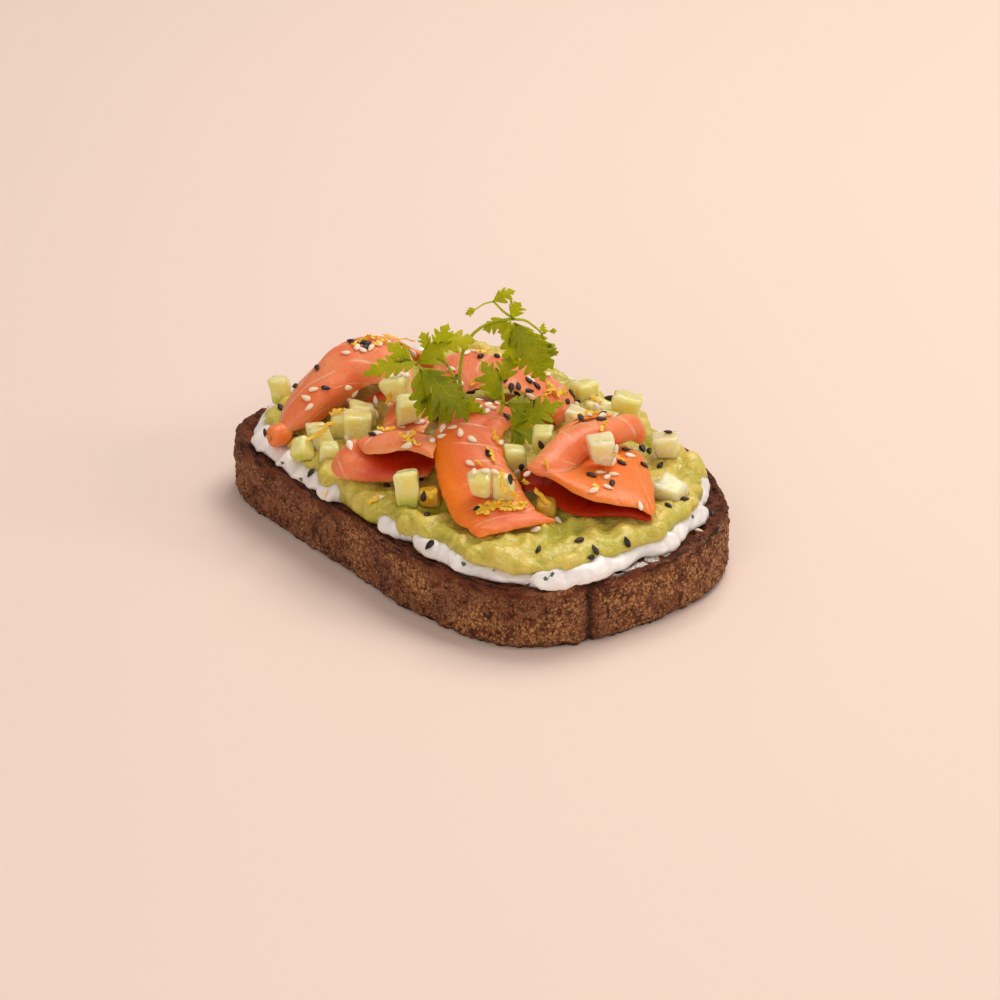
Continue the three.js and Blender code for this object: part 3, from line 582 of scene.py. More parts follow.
# Painted shade: the mash is painted darker green in the low parts of its relief and in the fork's hollows.
hollow_shade = smooth_step(-relief, 0.0, 1.0)
for across, down, reach, rise in FORK_MARKS:
    spot = seen_at_height(across, down, AVOCADO_TOP)
    apart = np.hypot(points[:, 0] - spot.x, points[:, 1] - spot.y) / reach
    near = np.exp(-(apart**2))
    points[:, 2] += rise * near * upper
    hollow_shade += max(-rise, 0) * 0.8 * near
shape(avocado, points)
store(avocado, "hollow_shade", np.clip(hollow_shade, 0, 1.6))
# Painted light: the raised ridges of the mash are painted lighter yellow.
store(avocado, "ridge", smooth_step(relief, 0.35, 1.4))

mash = Finish(
    "mashed_avocado", Subsurface_Weight=0.45, Subsurface_Scale=0.003, Coat_Weight=0.25,
    Subsurface_Radius=(1.0, 0.80, 0.20), Coat_Roughness=0.12, Specular_IOR_Level=0.45,
)
speck = mash.cells(0.0042).step(0.075, 0.04) * mash.swirl(0.012).step(0.5, 0.58)
flesh = mash.coats(
    (0.58, 0.50, 0.062),
    (mash.swirl(0.009, 5, 0.6).step(0.36, 0.64), (0.72, 0.56, 0.105)),
    (mash.swirl(0.0024, 5, 0.65).step(0.50, 0.68) * 0.6, (0.82, 0.64, 0.19)),
    # Painted light on the raised ridges.
    (mash.stored("ridge") * 0.5, (0.82, 0.60, 0.13)),
    # Painted shade in the hollows.
    (mash.stored("hollow_shade") * 0.55, (0.38, 0.38, 0.018)),
    (mash.swirl(0.014, 3).step(0.52, 0.66) * 0.5, (0.47, 0.48, 0.038)),
    (speck * 0.7, (0.12, 0.09, 0.03)),
)
pulp = mash.swirl(0.0014, 4, 0.6) + mash.cells(0.0011).step(0.5, 0.1) * 0.35
mash.wear(
    Base_Color=flesh,
    Roughness=0.30 + mash.swirl(0.002, 3).step(0.35, 0.7) * 0.24,
    Normal=mash.dents(pulp, 0.0006, 0.7),
)
avocado.data.materials.append(mash.material)
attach(avocado, "root")
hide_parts("mashed_avocado")

# The smoked salmon: thin cut slices, folded and curled as they were laid on by hand.
# Each is a net of points given in millimetres, with a smooth surface through it.
# Its flesh is moist and lets light in, with pale lines of fat and thin, torn edges.
SALMON_THICKNESS = 1.8
SALMON = {
    "salmon_back_left": [
        [[-38, -34.5, 25.4], [-40, -27, 26], [-39.5, -20.5, 28],
         [-36.5, -17, 32.5], [-30, -15.5, 36], [-24.5, -8.5, 35.5]],
        [[-38.6, -38.6, 25.4], [-37.6, -33, 31.5], [-38, -26, 35.3],
         [-38.5, -18.5, 38.3], [-36, -11, 40.3], [-32, -3, 39.3]],
        [[-39.5, -43, 25.4], [-42.8, -36, 31], [-46.2, -27.5, 35.3],
         [-48.7, -18.5, 39.3], [-48.2, -8.5, 40.8], [-43.2, 1, 39.3]],
        [[-46.5, -38, 25.4], [-52, -27, 31], [-53.5, -15, 34.8],
         [-51.5, -4, 36.3], [-47, 4, 34.8], [-40.5, 10, 32.3]],
        [[-52.5, -33, 25.2], [-56, -22, 26], [-57.5, -11, 27],
         [-55.5, 0, 27.5], [-50, 9, 27], [-42.5, 17, 25.6]],
    ],
    "salmon_front_left": [
        [[-13.6, -44.5, 25.6], [-13.8, -45.3, 26.4], [-13.6, -45.6, 27.2], [-13.2, -45.4, 28],
         [-12.7, -44.8, 28.6], [-12.2, -43.8, 28.9], [-11.8, -42.8, 28.8]],
        [[-7.9, -45.8, 25.4], [-6.9, -46.9, 27.6], [-6.8, -46.9, 29.6], [-7.4, -45.9, 31.4],
         [-8.6, -43.8, 32.8], [-10, -41.2, 33.6], [-11.2, -38.8, 33.4]],
        [[-2.8, -43.3, 25.4], [-1.9, -43.9, 28.2], [-3.2, -42.2, 30.8], [-6.4, -38, 31.8],
         [-8.1, -35.8, 34.6], [-4.9, -39.4, 34.7], [-3.2, -42.2, 33]],
        [[2.5, -39.3, 25.8], [1.8, -38.6, 28], [-1, -35.4, 29.4], [-5.6, -29.4, 30.4],
         [-4.7, -30.9, 35.4], [0.2, -35.7, 35.8], [2.3, -38.4, 34.2]],
        [[5.7, -35, 26.4], [3.2, -32.1, 27.2], [-0.3, -27.3, 27.6], [-3.6, -23, 29.5],
         [0.5, -27.9, 35.6], [4.8, -32.2, 36.2], [5.8, -34.3, 35]],
        [[8.1, -28.8, 26.6], [6.2, -25.9, 27], [2.9, -22, 27.5], [1.1, -19.1, 29.5],
         [5.7, -23.4, 35], [10.9, -28.5, 35.6], [13.2, -31.4, 34.4]],
    ],
    "salmon_centre": [
        [[-10, 0, 32], [-2, 1, 35], [5, 3, 35], [11, 6, 31]],
        [[-6, -9, 36], [2, -8, 39], [9, -6, 39], [14.5, -2.5, 36.5]],
        [[-1, -18, 37.5], [6, -18, 39.6], [13, -15.5, 39.6], [18.5, -11.5, 37.5]],
        [[6.5, -26.5, 35], [12.5, -24.5, 36.6], [19.5, -20.5, 36], [25.5, -16, 33.5]],
        [[15.5, -33, 30.5], [22, -28.5, 32], [28.5, -23, 32], [33.5, -17.5, 30]],
        [[31, -40, 27], [36, -34, 28.5], [40, -27, 28.6], [42.6, -20, 27.6]],
        [[43, -40, 25.4], [45, -33, 26], [47.2, -25.2, 26], [48.8, -16.8, 25.4]],
    ],
    "salmon_right": [
        [[29.4, 25.6, 34], [31.4, 26, 32.5], [33.1, 25.6, 30.6], [33.5, 23.5, 29]],
        [[29, 23, 37.5], [32.3, 22, 36.5], [33.3, 21.7, 34], [32.4, 20.5, 31]],
        [[30.4, 15.5, 39.4], [34.2, 13.6, 38.6], [35.9, 12.6, 36], [33.2, 13.5, 32]],
        [[29.8, 7.8, 40.2], [34.7, 5.2, 39.6], [35.7, 5, 36.5], [33.1, 6.3, 32.4]],
        [[28.8, 3.2, 40.2], [34.6, 0, 39.4], [37.1, -0.6, 36.4], [36.4, 0.3, 32.6]],
        [[30.2, -4.6, 39.4], [35.3, -6.1, 38], [38.2, -4.6, 35.4], [37.9, -1.3, 32.8]],
        [[32.2, -12.1, 37.2], [36.9, -11.8, 36.6], [39.1, -8.1, 34.8], [38.9, -2, 32.8]],
        [[33.3, -16.7, 35.4], [37.7, -14.9, 35.2], [40.2, -10.4, 34.2], [39.6, -2, 32.8]],
        [[40.2, -14, 34], [41.7, -11.7, 34], [41.0, -6.4, 33.2], [33.5, 4.6, 31.4]],
        [[49.1, -12.4, 32], [47.7, -8.8, 32.8], [43, -1.2, 32.6], [31.2, 11.2, 30.8]],
        [[55.7, -8.3, 30.8], [52.3, -3.7, 31.8], [45, 4.8, 31.8], [30.4, 18.4, 30]],
        [[60.7, -2.2, 29.2], [55.6, 2.8, 30.4], [46, 11.2, 30.4], [32.8, 21.4, 29.2]],
        [[65.5, 1.4, 26.4], [58.7, 7.1, 28.2], [49, 14, 29], [35.2, 22, 28.4]],
    ],
    "salmon_right_under": [
        [[36.5, -19.5, 27.2], [31.5, -16.8, 28.8], [25.8, -13.0, 30.2]],
        [[33.0, -17.0, 28.6], [30.9, -12.4, 29.8], [27.8, -6.3, 30.8]],
        [[38.4, -14.8, 27.6], [36.4, -8.4, 29.2], [33.9, -2.7, 30.2]],
        [[45.0, -14.4, 26.6], [43.0, -9.0, 28.0], [40.8, -3.3, 29.2]],
        [[51.6, -12, 26.4], [49.9, -6.8, 28], [46.2, -0.9, 28.8]],
        [[55.5, -6.8, 26.4], [53.8, -3.5, 27.6], [49.7, 1.6, 28.2]],
        [[60.2, -1.8, 26.2], [58.4, 0.4, 27], [54.6, 4, 27.6]],
        [[64.4, 1.2, 25.6], [62.1, 2.8, 26.2], [57.8, 5.8, 26.8]],
    ],
    "salmon_right_back": [
        [[25, 24.5, 34], [26.2, 17.5, 37.5], [26, 11, 38.8], [26.2, 5, 38.6], [26.6, 0, 37.6]],
        [[22, 26, 31], [22, 18.5, 34], [21.5, 12, 35], [22, 6, 34.6], [23, 1.6, 33.6]],
        [[21, 30, 25.6], [17, 21, 27.2], [16, 13, 28.6], [17, 7.5, 29], [19, 4, 29]],
    ],
    "salmon_middle": [
        [[-37.5, -17.5, 28.2], [-36, -12.5, 30.4], [-31, -8, 32.4], [-23, -6.5, 34]],
        [[-29, -13.6, 30.4], [-25, -11.5, 32.2], [-19, -11, 33.6], [-12, -11.4, 34]],
        [[-23.5, -19.4, 30.6], [-18.6, -18.6, 32], [-13.4, -18, 32.6], [-7, -16.6, 33.4]],
        [[-17.6, -26.6, 29], [-13, -25, 30.5], [-9, -23.6, 31.2], [-4, -21.2, 32]],
    ],
    "salmon_back": [
        [[-33, -2, 29], [-24, -4, 36], [-17, -6, 38], [-10, -8, 36]],
        [[-32, 9, 33], [-25, 5, 40], [-16, 2, 41], [-6, -2, 39]],
        [[-26, 18, 33], [-18, 15, 39], [-9, 11, 40.5], [1, 6, 39]],
        [[-20, 26, 30], [-10, 25, 34], [-1, 19, 34.6], [4.6, 12, 34.8]],
        [[-16, 31, 25.6], [-5, 32, 26.4], [2, 25, 27], [6.6, 17, 26.6]],
    ],
    "salmon_curl": [
        [[-42.1, -39.4, 24.0], [-40.5, -39.5, 23.2], [-39.0, -39.6, 23.8], [-38.6, -39.6, 25.4],
         [-39.4, -39.5, 26.6], [-40.8, -39.5, 26.8], [-41.8, -39.5, 25.9], [-41.7, -39.5, 24.6],
         [-41.4, -39.5, 23.7]],
        [[-42.7, -42.0, 23.6], [-40.7, -42.1, 22.6], [-38.7, -42.2, 23.4], [-38.1, -42.2, 25.4],
         [-39.2, -42.1, 27.0], [-41.0, -42.1, 27.3], [-42.3, -42.0, 26.0], [-42.1, -42.0, 24.4],
         [-41.8, -42.0, 23.2]],
        [[-42.7, -44.1, 23.7], [-40.8, -44.2, 22.7], [-38.9, -44.3, 23.5], [-38.3, -44.3, 25.4],
         [-39.3, -44.2, 27.0], [-41.1, -44.2, 27.2], [-42.3, -44.1, 26.0], [-42.2, -44.1, 24.4],
         [-41.8, -44.1, 23.3]],
        [[-42.3, -45.6, 24.0], [-40.8, -45.7, 23.2], [-39.2, -45.7, 23.8], [-38.8, -45.8, 25.4],
         [-39.6, -45.7, 26.6], [-41.0, -45.7, 26.8], [-42.0, -45.6, 25.9], [-41.9, -45.6, 24.6],
         [-41.5, -45.6, 23.7]],
        [[-41.1, -45.0, 24.6], [-40.6, -45.0, 24.4], [-40.1, -45.0, 24.6], [-39.9, -45.0, 25.1],
         [-40.2, -45.0, 25.5], [-40.7, -45.0, 25.6], [-41.0, -45.0, 25.3], [-41.0, -45.0, 24.9],
         [-40.9, -45.0, 24.5]],
    ],
}


def through(net, reach, each=None):
    """The smooth line through net[0], net[1] and so on, at each reach from 0 to 1."""
    ends = np.concatenate([2 * net[:1] - net[1:2], net, 2 * net[-1:] - net[-2:-1]])
    place = np.clip(reach, 0, 1) * (len(net) - 1)
    start = np.minimum(place.astype(int), len(net) - 2)
    before, first, second, after = (
        ends[start + k] if each is None else ends[start + k, each] for k in range(4)
    )
    t = (place - start).reshape(-1, *[1] * (first.ndim - 1))
    leave, arrive = (second - before) / 2, (after - first) / 2
    cubic = 2 * first - 2 * second + leave + arrive
    square = -3 * first + 3 * second - 2 * leave - arrive
    return cubic * t**3 + square * t**2 + leave * t + first


def on_slice(net, along, across):
    """Points of the smooth surface through a net, at shares along and across it."""
    rows = through(net.transpose(1, 0, 2), along)
    return through(rows.transpose(1, 0, 2), across, np.arange(len(along)))


def torn(place, length, depth, seed):
    """How far in a torn side is, in millimetres, at each place from 0 to 1 along it."""
    line = np.column_stack([place * length, np.full_like(place, seed * 7.7), np.zeros_like(place)])
    tear = 0.55 * lumps(line, 3.4, seed) + 0.45 * lumps(line, 1.3, seed + 1)
    return depth * np.clip(0.5 + tear, 0, 1.4)


def apply(piece, kind, **settings):
    only(piece)
    bpy.ops.object.modifier_add(type=kind)
    modifier = piece.modifiers[-1]
    for key, value in settings.items():
        setattr(modifier, key, value)
    bpy.ops.object.modifier_apply(modifier=modifier.name)


def lay_salmon(name, finish, tear=0.7, mesh_size=0.9, sheer=None, shaded=None):
    """Makes a slice. Sheer and shaded tell where it is thin and clear, and where it is painted deep red as
    painted shade.
    """
    net = np.array(SALMON[name], float)
    seed = len(name) + len(net)
    line = np.linspace(0, 1, 40)
    middle = np.full(40, 0.5)
    length, width = (
        np.linalg.norm(np.diff(on_slice(net, *way), axis=0), axis=1).sum()
        for way in ((line, middle), (middle, line))
    )
    piece, along, across = netting(name + "_slice", int(length / mesh_size), int(width / mesh_size))
    low = torn(across, width, tear, seed) / length
    high = 1 - torn(across, width, tear, seed + 3) / length
    left = torn(along, length, tear, seed + 5) / width
    right = 1 - torn(along, length, tear, seed + 7) / width
    inner_along = low + along * (high - low)
    inner_across = left + across * (right - left)
    points = on_slice(net, inner_along, inner_across)
    to_side = np.minimum(np.minimum(along, 1 - along) * length, np.minimum(across, 1 - across) * width)
    shape(piece, points)
    flat = np.column_stack([inner_along * length, inner_across * width, np.zeros_like(along)])
    ripple = 0.32 * lumps(flat, 6.0, seed) + 0.4 * np.exp(-to_side / 1.8) * lumps(flat, 3.0, seed + 1)
    shape(piece, points + points_of(piece, "normal") * ripple[:, None])
    store(piece, "along", flat[:, 0] * MM)
    store(piece, "across", flat[:, 1] * MM)
    store(piece, "thin", np.exp(-to_side / 1.6))
    for field, share_at in (("sheer", sheer), ("shaded", shaded)):
        share = share_at(inner_along, inner_across) if share_at else np.zeros_like(along)
        store(piece, field, share)
    body = piece.vertex_groups.new(name="body")
    for number, weight in enumerate(np.clip(to_side / 2.4, 0, 1) ** 0.6):
        body.add([number], float(weight), "REPLACE")
    apply(
        piece, "SOLIDIFY", thickness=SALMON_THICKNESS * MM, offset=0,
        vertex_group="body", thickness_vertex_group=0.18,
    )
    apply(piece, "SUBSURF", levels=1, render_levels=1)
    bpy.ops.object.shade_smooth()
    piece.data.materials.append(finish)
    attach(piece, "root")
    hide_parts(name)
    return piece


def salmon_finish(name, flesh, rosy, edge, fat_every, lean, fat_share, wet=0.2, streaky=1.0):
    """Flesh with lines of fat that run across the slice and lean by so much."""
    salmon = Finish(
        name, Subsurface_Weight=0.5, Subsurface_Scale=0.0035, Subsurface_Radius=(1.0, 0.25, 0.08),
        Coat_Weight=wet, Coat_Roughness=0.16, Specular_IOR_Level=2 * wet,
    )
    along, across = salmon.stored("along"), salmon.stored("across")
    flat = salmon.add("ShaderNodeCombineXYZ", {}, {"X": along, "Y": across})
    drawn_out = salmon.add("ShaderNodeMapping", {}, {"Vector": flat, "Scale": (1, 3.2, 1)})
    streaks = salmon.swirl(0.006, 5, 0.6, drawn_out)
    fibres = salmon.swirl(0.0016, 3, 0.6, drawn_out)
    wander = salmon.swirl(0.022, 1, 0.5, flat) * 1.3
    bands = across * (1 / fat_every) + along * (lean / fat_every) + wander
    ridge = salmon.add("ShaderNodeMath", {"operation": "PINGPONG"}, {0: bands, 1: 0.5})
    fat = ridge.step(0.09, 0.01) * salmon.swirl(0.010, 3, 0.5, flat).step(0.42, 0.60)
    shade = salmon.coats(
        flesh,
        (salmon.swirl(0.012, 3, 0.5, flat).step(0.32, 0.68), rosy),
        (streaks.step(0.50, 0.75) * (0.4 * streaky), (0.94, 0.40, 0.22)),
        (fibres.step(0.52, 0.36) * (0.3 * streaky), (0.80, 0.11, 0.022)),
        (fat * fat_share, (0.96, 0.55, 0.36)),
        (salmon.stored("thin") * 0.7, edge),
        (salmon.stored("sheer"), (0.93, 0.20, 0.0)),
        # Painted shade: deep red where folds and other slices keep the light off.
        (salmon.stored("shaded"), (0.56, 0.030, 0.0)),
    )
    relief = streaks * 0.6 + fibres * 0.5 + salmon.swirl(0.0008, 3, 0.5) * 0.25 - fat * 0.5
    return salmon.wear(
        Base_Color=shade,
        Roughness=0.36 + salmon.swirl(0.004, 3).step(0.35, 0.7) * 0.16,
        Normal=salmon.dents(relief, 0.0006, 0.7),
    )


def clear_left_side(along, across):
    """The centre slice is thin and clear at its left side, from half-way down to its front end."""
    at_left = smooth_step(along, 0.50, 0.12)
    return at_left * smooth_step(across, 0.25, 0.50) * smooth_step(across, 1.1, 0.80)


def under_front_fold(along, across):
    """The front slice is deep red in the shade below its fold, except at its left end."""
    in_fold = smooth_step(along, -0.1, 0.25) * smooth_step(along, 0.68, 0.58)
    return in_fold * smooth_step(across, 0.26, 0.55)


pink_salmon = salmon_finish(
    "pink_smoked_salmon", flesh=(0.90, 0.190, 0.052), rosy=(0.92, 0.275, 0.105),
    edge=(0.94, 0.40, 0.12), fat_every=0.0085, lean=0.5, fat_share=0.7,
)
bright_salmon = salmon_finish(
    "bright_smoked_salmon", flesh=(0.90, 0.150, 0.030), rosy=(0.90, 0.215, 0.062),
    edge=(0.94, 0.25, 0.01), fat_every=0.0065, lean=0.35, fat_share=0.75,
)
# Painted shade: a copy of the salmon painted dark red, for the layer in the shade under the right slice's
# fold.
shade_painted_salmon = salmon_finish(
    "shade_painted_smoked_salmon", flesh=(0.25, 0.004, 0.0), rosy=(0.33, 0.010, 0.0),
    edge=(0.50, 0.04, 0.0), fat_every=0.008, lean=0.3, fat_share=0.0, wet=0.04, streaky=0.08,
)
salmon_pieces = [
    lay_salmon("salmon_back_left", pink_salmon),
    lay_salmon("salmon_front_left", pink_salmon, 1.1, shaded=under_front_fold),
    lay_salmon("salmon_centre", bright_salmon, 1.2, sheer=clear_left_side),
    lay_salmon(
        "salmon_right", pink_salmon, 0.9,
        sheer=lambda along, across: 0.75 * smooth_step(across, 0.58, 0.70),
    ),
    # Its dark red is painted shade.
    lay_salmon("salmon_right_under", shade_painted_salmon, 1.0),
    lay_salmon("salmon_right_back", bright_salmon),
    # The middle slice has painted shade, deep red, where it lies under the arch of the back left slice.
    lay_salmon(
        "salmon_middle", pink_salmon,
        shaded=lambda along, across: 0.85 * smooth_step(across, 0.42, 0.10),
    ),
    lay_salmon("salmon_back", pink_salmon),
    lay_salmon(
        "salmon_curl", pink_salmon, 0.2, 0.5,
        sheer=lambda along, across: np.full_like(along, 0.4),
    ),
]

# The cucumber: peeled flesh cut by hand into dice of 5 to 7 mm, wet and clear, with a painted glow along
# their edges.
# Each die keeps the place of its solid. A few have a side of green just under the skin.
DICE = 27
FULLER = 1.16
# The most that a die's faces lean to each other or aside, and the range of its rounding.
WEDGED = 0.16
SLANTED = 0.15
ROUNDED = (0.9, 1.6)
RIPE_DICE = ("17", "18", "19", "22")
GREEN_DICE = ("01", "08", "11", "15", "16", "20")
# Two dice are painted orange: a painted reflection of the salmon's light on them.
SALMON_GLOW_DICE = ("12", "24")


def cucumber_finish(name, flesh, core, edge, rind):
    cucumber = Finish(
        name, Subsurface_Weight=1.0, Subsurface_Scale=0.006, Subsurface_Radius=(1.0, 0.80, 0.30),
        Transmission_Weight=0.10, Coat_Weight=0.35, Coat_Roughness=0.08, IOR=1.36,
    )
    watery = cucumber.swirl(0.0035, 3, 0.5)
    fibres = cucumber.swirl(0.0022, 4, 0.6, cucumber.stretched(1, 1, 0.3)).step(0.5, 0.7)
    shade = cucumber.coats(
        flesh,
        (watery.step(0.35, 0.65), core),
        (fibres * 0.12, (0.96, 0.84, 0.50)),
        # Painted light: the dice are painted lighter along their edges, a painted glow.
        (cucumber.stored("edge") * 0.35, edge),
        (cucumber.stored("rind"), rind),
    )
    return cucumber.wear(
        Base_Color=shade,
        Roughness=0.14 + watery.step(0.4, 0.7) * 0.2,
        Normal=cucumber.dents(cucumber.swirl(0.0014, 3, 0.5) + fibres * 0.3, 0.0004, 0.5),
    )


pale_cucumber = cucumber_finish(
    "pale_cucumber", flesh=(0.98, 0.77, 0.24), core=(0.99, 0.84, 0.38),
    edge=(0.99, 0.90, 0.50), rind=(0.62, 0.70, 0.07),
)
ripe_cucumber = cucumber_finish(
    "ripe_cucumber", flesh=(0.99, 0.74, 0.38), core=(0.99, 0.83, 0.54),
    edge=(0.99, 0.88, 0.66), rind=(0.92, 0.76, 0.42),
)
# A copy of the cucumber painted orange, a painted reflection of the salmon beside it.
salmon_glow_cucumber = cucumber_finish(
    "salmon_glow_cucumber", flesh=(0.92, 0.38, 0.012), core=(0.96, 0.50, 0.045),
    edge=(0.98, 0.66, 0.14), rind=(0.92, 0.50, 0.035),
)
cut_by_hand = random.Random(7)


def from_edges(points, edges):
    """How far each point is from the nearest of some edges, in millimetres."""
    nearest = np.full(len(points), np.inf)
    for start, end in edges:
        along = np.clip((points - start) @ (end - start) / ((end - start) ** 2).sum(), 0, 1)
        apart = np.linalg.norm(points - start - along[:, None] * (end - start), axis=1)
        nearest = np.minimum(nearest, apart)
    return nearest


dice = []
for number in range(1, DICE + 1):
    label = f"{number:02d}"
    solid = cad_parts["cucumber_die_" + label]
    only(solid)
    bpy.ops.object.duplicate()
    die = bpy.context.object
    die.name = die.data.name = "cucumber_dice_" + label
    die.data.materials.clear()
    weld(die)
    bpy.ops.object.mode_set(mode="EDIT")
    bpy.ops.mesh.select_all(action="SELECT")
    bpy.ops.mesh.tris_convert_to_quads()
    bpy.ops.object.mode_set(mode="OBJECT")
    points = points_of(die)
    middle = points.mean(axis=0)
    wedge = np.array([cut_by_hand.uniform(-WEDGED, WEDGED) for _ in range(3)])
    narrow = 1 + ((points - middle) @ wedge)[:, None] / 3
    foot = middle - [0, 0, middle[2] - points[:, 2].min()]
    points = foot + ((middle + (points - middle) * narrow) - foot) * FULLER
    slant = np.array([cut_by_hand.uniform(-SLANTED, SLANTED) for _ in range(2)])
    points[:, :2] += (points[:, 2:] - foot[2]) * slant
    shape(die, points)
    sharp_edges = points[[list(edge.vertices) for edge in die.data.edges]]
    apply(die, "BEVEL", width=cut_by_hand.uniform(*ROUNDED) * MM, segments=5, limit_method="NONE")
    apply(die, "SUBSURF", levels=3, render_levels=3, subdivision_type="SIMPLE")
    points = points_of(die)
    uneven = 0.45 * lumps(points, 3.8, number) + 0.06 * lumps(points, 1.4, number)
    shape(die, points + points_of(die, "normal") * (uneven - 0.08)[:, None])
    low_side = points @ np.array([0.3, -0.5, -1.0])
    reach = low_side.max() - low_side.min()
    rind = smooth_step(low_side, low_side.max() - 0.42 * reach, low_side.max() - 0.1 * reach)
    store(die, "rind", rind * (0.9 if label in GREEN_DICE else 0.0))
    # How near each point is to an edge, where the finish paints a lighter glow.
    store(die, "edge", np.exp(-((from_edges(points, sharp_edges) / 1.1) ** 2)))
    bpy.ops.object.shade_smooth()
    juice = salmon_glow_cucumber if label in SALMON_GLOW_DICE else pale_cucumber
    die.data.materials.append(ripe_cucumber if label in RIPE_DICE else juice)
    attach(die, "root")
    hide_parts(solid.name)
    dice.append(die)

# The avocado gives way under the salmon and the cucumber that were laid on it, and closes round
# them: each of its points stays a little below what lies over it.
GIVEN_WAY = 0.35
bpy.context.view_layer.update()
depsgraph = bpy.context.evaluated_depsgraph_get()
laid_on = [BVHTree.FromObject(piece, depsgraph) for piece in salmon_pieces + dice]
points = points_of(avocado)
pressed = points.copy()
straight_up = Vector((0, 0, 1))
for number, (x, y, z) in enumerate(points):
    if z < CREAM_TOP:
        continue
    start = Vector((x, y, CREAM_TOP - 1)) * MM
    for tree in laid_on:
        hit = tree.ray_cast(start, straight_up, (z - CREAM_TOP + 1 + GIVEN_WAY) * MM)
        if hit[0]:
            pressed[number, 2] = min(pressed[number, 2], hit[0].z / MM - GIVEN_WAY)
shape(avocado, pressed)

# The sesame: white and black seeds, about 3 mm long, scattered by hand and in small heaps.
# Those that the picture shows are set by their place in it, and the rest by a seeded draw.
SEED_LENGTH = 3.2
SEED_LIFT = 0.35
SEED_SIZES = (0.88, 1.08)
SEED_TILT = 0.25
ABOVE_ALL = 90
WHITE_SEEN = [
    (314, 390), (306, 398.5), (309, 407.5), (348, 387.5), (354.6, 393), (349, 400), (390, 377),
    (397.4, 377), (404, 375.4), (376, 400), (391, 405), (375.4, 414.5), (348, 439), (350, 446),
    (402, 427), (420, 423), (378, 434), (409, 435), (407, 446), (443, 429.5), (452.4, 428),
    (460.5, 433), (442.4, 436.5), (432.4, 441), (472.5, 440), (470.6, 464), (474, 472.5), (325, 494),
    (378.7, 498.6), (500.5, 442.7), (479.7, 408), (488, 405.5), (491, 408.5), (487, 412), (497, 404.5),
    (484.7, 472), (495.5, 473), (516, 471.7), (527.8, 474.5), (601.6, 416), (597.5, 408), (615, 450),
    (630.3, 456.6), (613.2, 460), (600.5, 473.4), (607.4, 477.5), (614, 475), (608, 488), (593.3, 491.4),
    (639.8, 506), (655.2, 456.6), (558.5, 521.4), (536, 530), (530, 396), (357.5, 347.6), (345.7, 353.5),
    (380, 344.7), (404, 337), (409, 346), (412, 352),
]
BLACK_SEEN = [
    (317.7, 368.5), (326, 388.5), (296, 386.5), (280.3, 407.6), (266, 433), (293, 437), (372, 435),
    (436, 419), (311, 474), (387.6, 486.4), (421, 480), (424, 496), (426.7, 515.6), (430, 545.4),
    (478, 509), (351, 342), (362, 343), (365, 348.5), (511, 388.6), (518, 386.6), (517, 394.6),
    (529.5, 391.3), (528, 381), (474, 390), (470, 392.5), (506, 417), (488, 453), (567, 401.6),
    (609.6, 398.6), (581, 419), (601.6, 420), (541, 444), (521, 467.4), (509.6, 480), (626, 450.5),
    (622, 464), (591.7, 476), (612, 484), (644, 466), (660.5, 466), (668.4, 506.5), (539, 550),
    (578.7, 541), (594.6, 550), (590, 558), (626.5, 542), (505, 380), (536, 386),
]
# Patches behind and inside the heap: x, y, radius, white seeds, black seeds.
SEED_PATCHES = [
    (-24, 16, 14, 9, 7), (26, 34, 9, 3, 4), (-54, 12, 7, 2, 4), (0, 24, 10, 6, 4), (-10, -6, 8, 6, 4),
    (24, 14, 8, 3, 3), (58, 22, 6, 1, 2), (-46, -6, 10, 4, 3), (-2, 38, 6, 2, 2),
]

underlay = {}
for piece in salmon_pieces + dice + [avocado, cream, bread]:
    bpy.context.view_layer.update()
    underlay[piece.name] = BVHTree.FromObject(piece, bpy.context.evaluated_depsgraph_get())


def first_met(start, direction):
    """The nearest surface along a line: its place in millimetres and its normal."""
    hits = [tree.ray_cast(start * MM, direction) for tree in underlay.values()]
    hits = [hit for hit in hits if hit[0]]
    if not hits:
        return None
    place, normal, _, _ = min(hits, key=lambda hit: hit[3])
    return place / MM, normal if normal.dot(direction) < 0 else -normal


def from_camera(across, down):
    return eye / MM, sight(across, down)


def from_above(x, y):
    return Vector((x, y, ABOVE_ALL)), Vector((0, 0, -1))


def new_piece(name, points, faces):
    """A piece made from its points, in metres, and the corners of each of its faces."""
    mesh = bpy.data.meshes.new(name)
    mesh.from_pydata(points.tolist(), [], faces)
    piece = bpy.data.objects.new(name, mesh)
    bpy.context.scene.collection.objects.link(piece)
    return piece


def scattered(name, model, placings, finish):
    """Copies of one model in one mesh, each with a shade of its own."""
    points = np.column_stack([points_of(model) * MM, np.ones(len(model.data.vertices))])
    faces = [list(face.vertices) for face in model.data.polygons]
    copies = np.concatenate([(points @ np.array(placing).T)[:, :3] for placing in placings])
    firsts = range(0, len(copies), len(points))
    piece = new_piece(name, copies, [[first + k for k in face] for first in firsts for face in faces])
    draw = random.Random(len(placings))
    store(piece, "shade", np.repeat([draw.random() for _ in placings], len(points)))
    bpy.data.objects.remove(model)
    only(piece)
    bpy.ops.object.shade_smooth()
    piece.data.materials.append(finish)
    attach(piece, "root")


def lying(place, normal, turn, lift, size, tilt):
    """The placing of a small thing that lies on a surface."""
    facing = normal.to_track_quat("Z", "Y").to_matrix().to_4x4()
    spun = Matrix.Rotation(turn, 4, "Z") @ Matrix.Rotation(tilt, 4, "X")
    return Matrix.Translation((place + normal * lift) * MM) @ facing @ spun @ Matrix.Scale(size, 4)


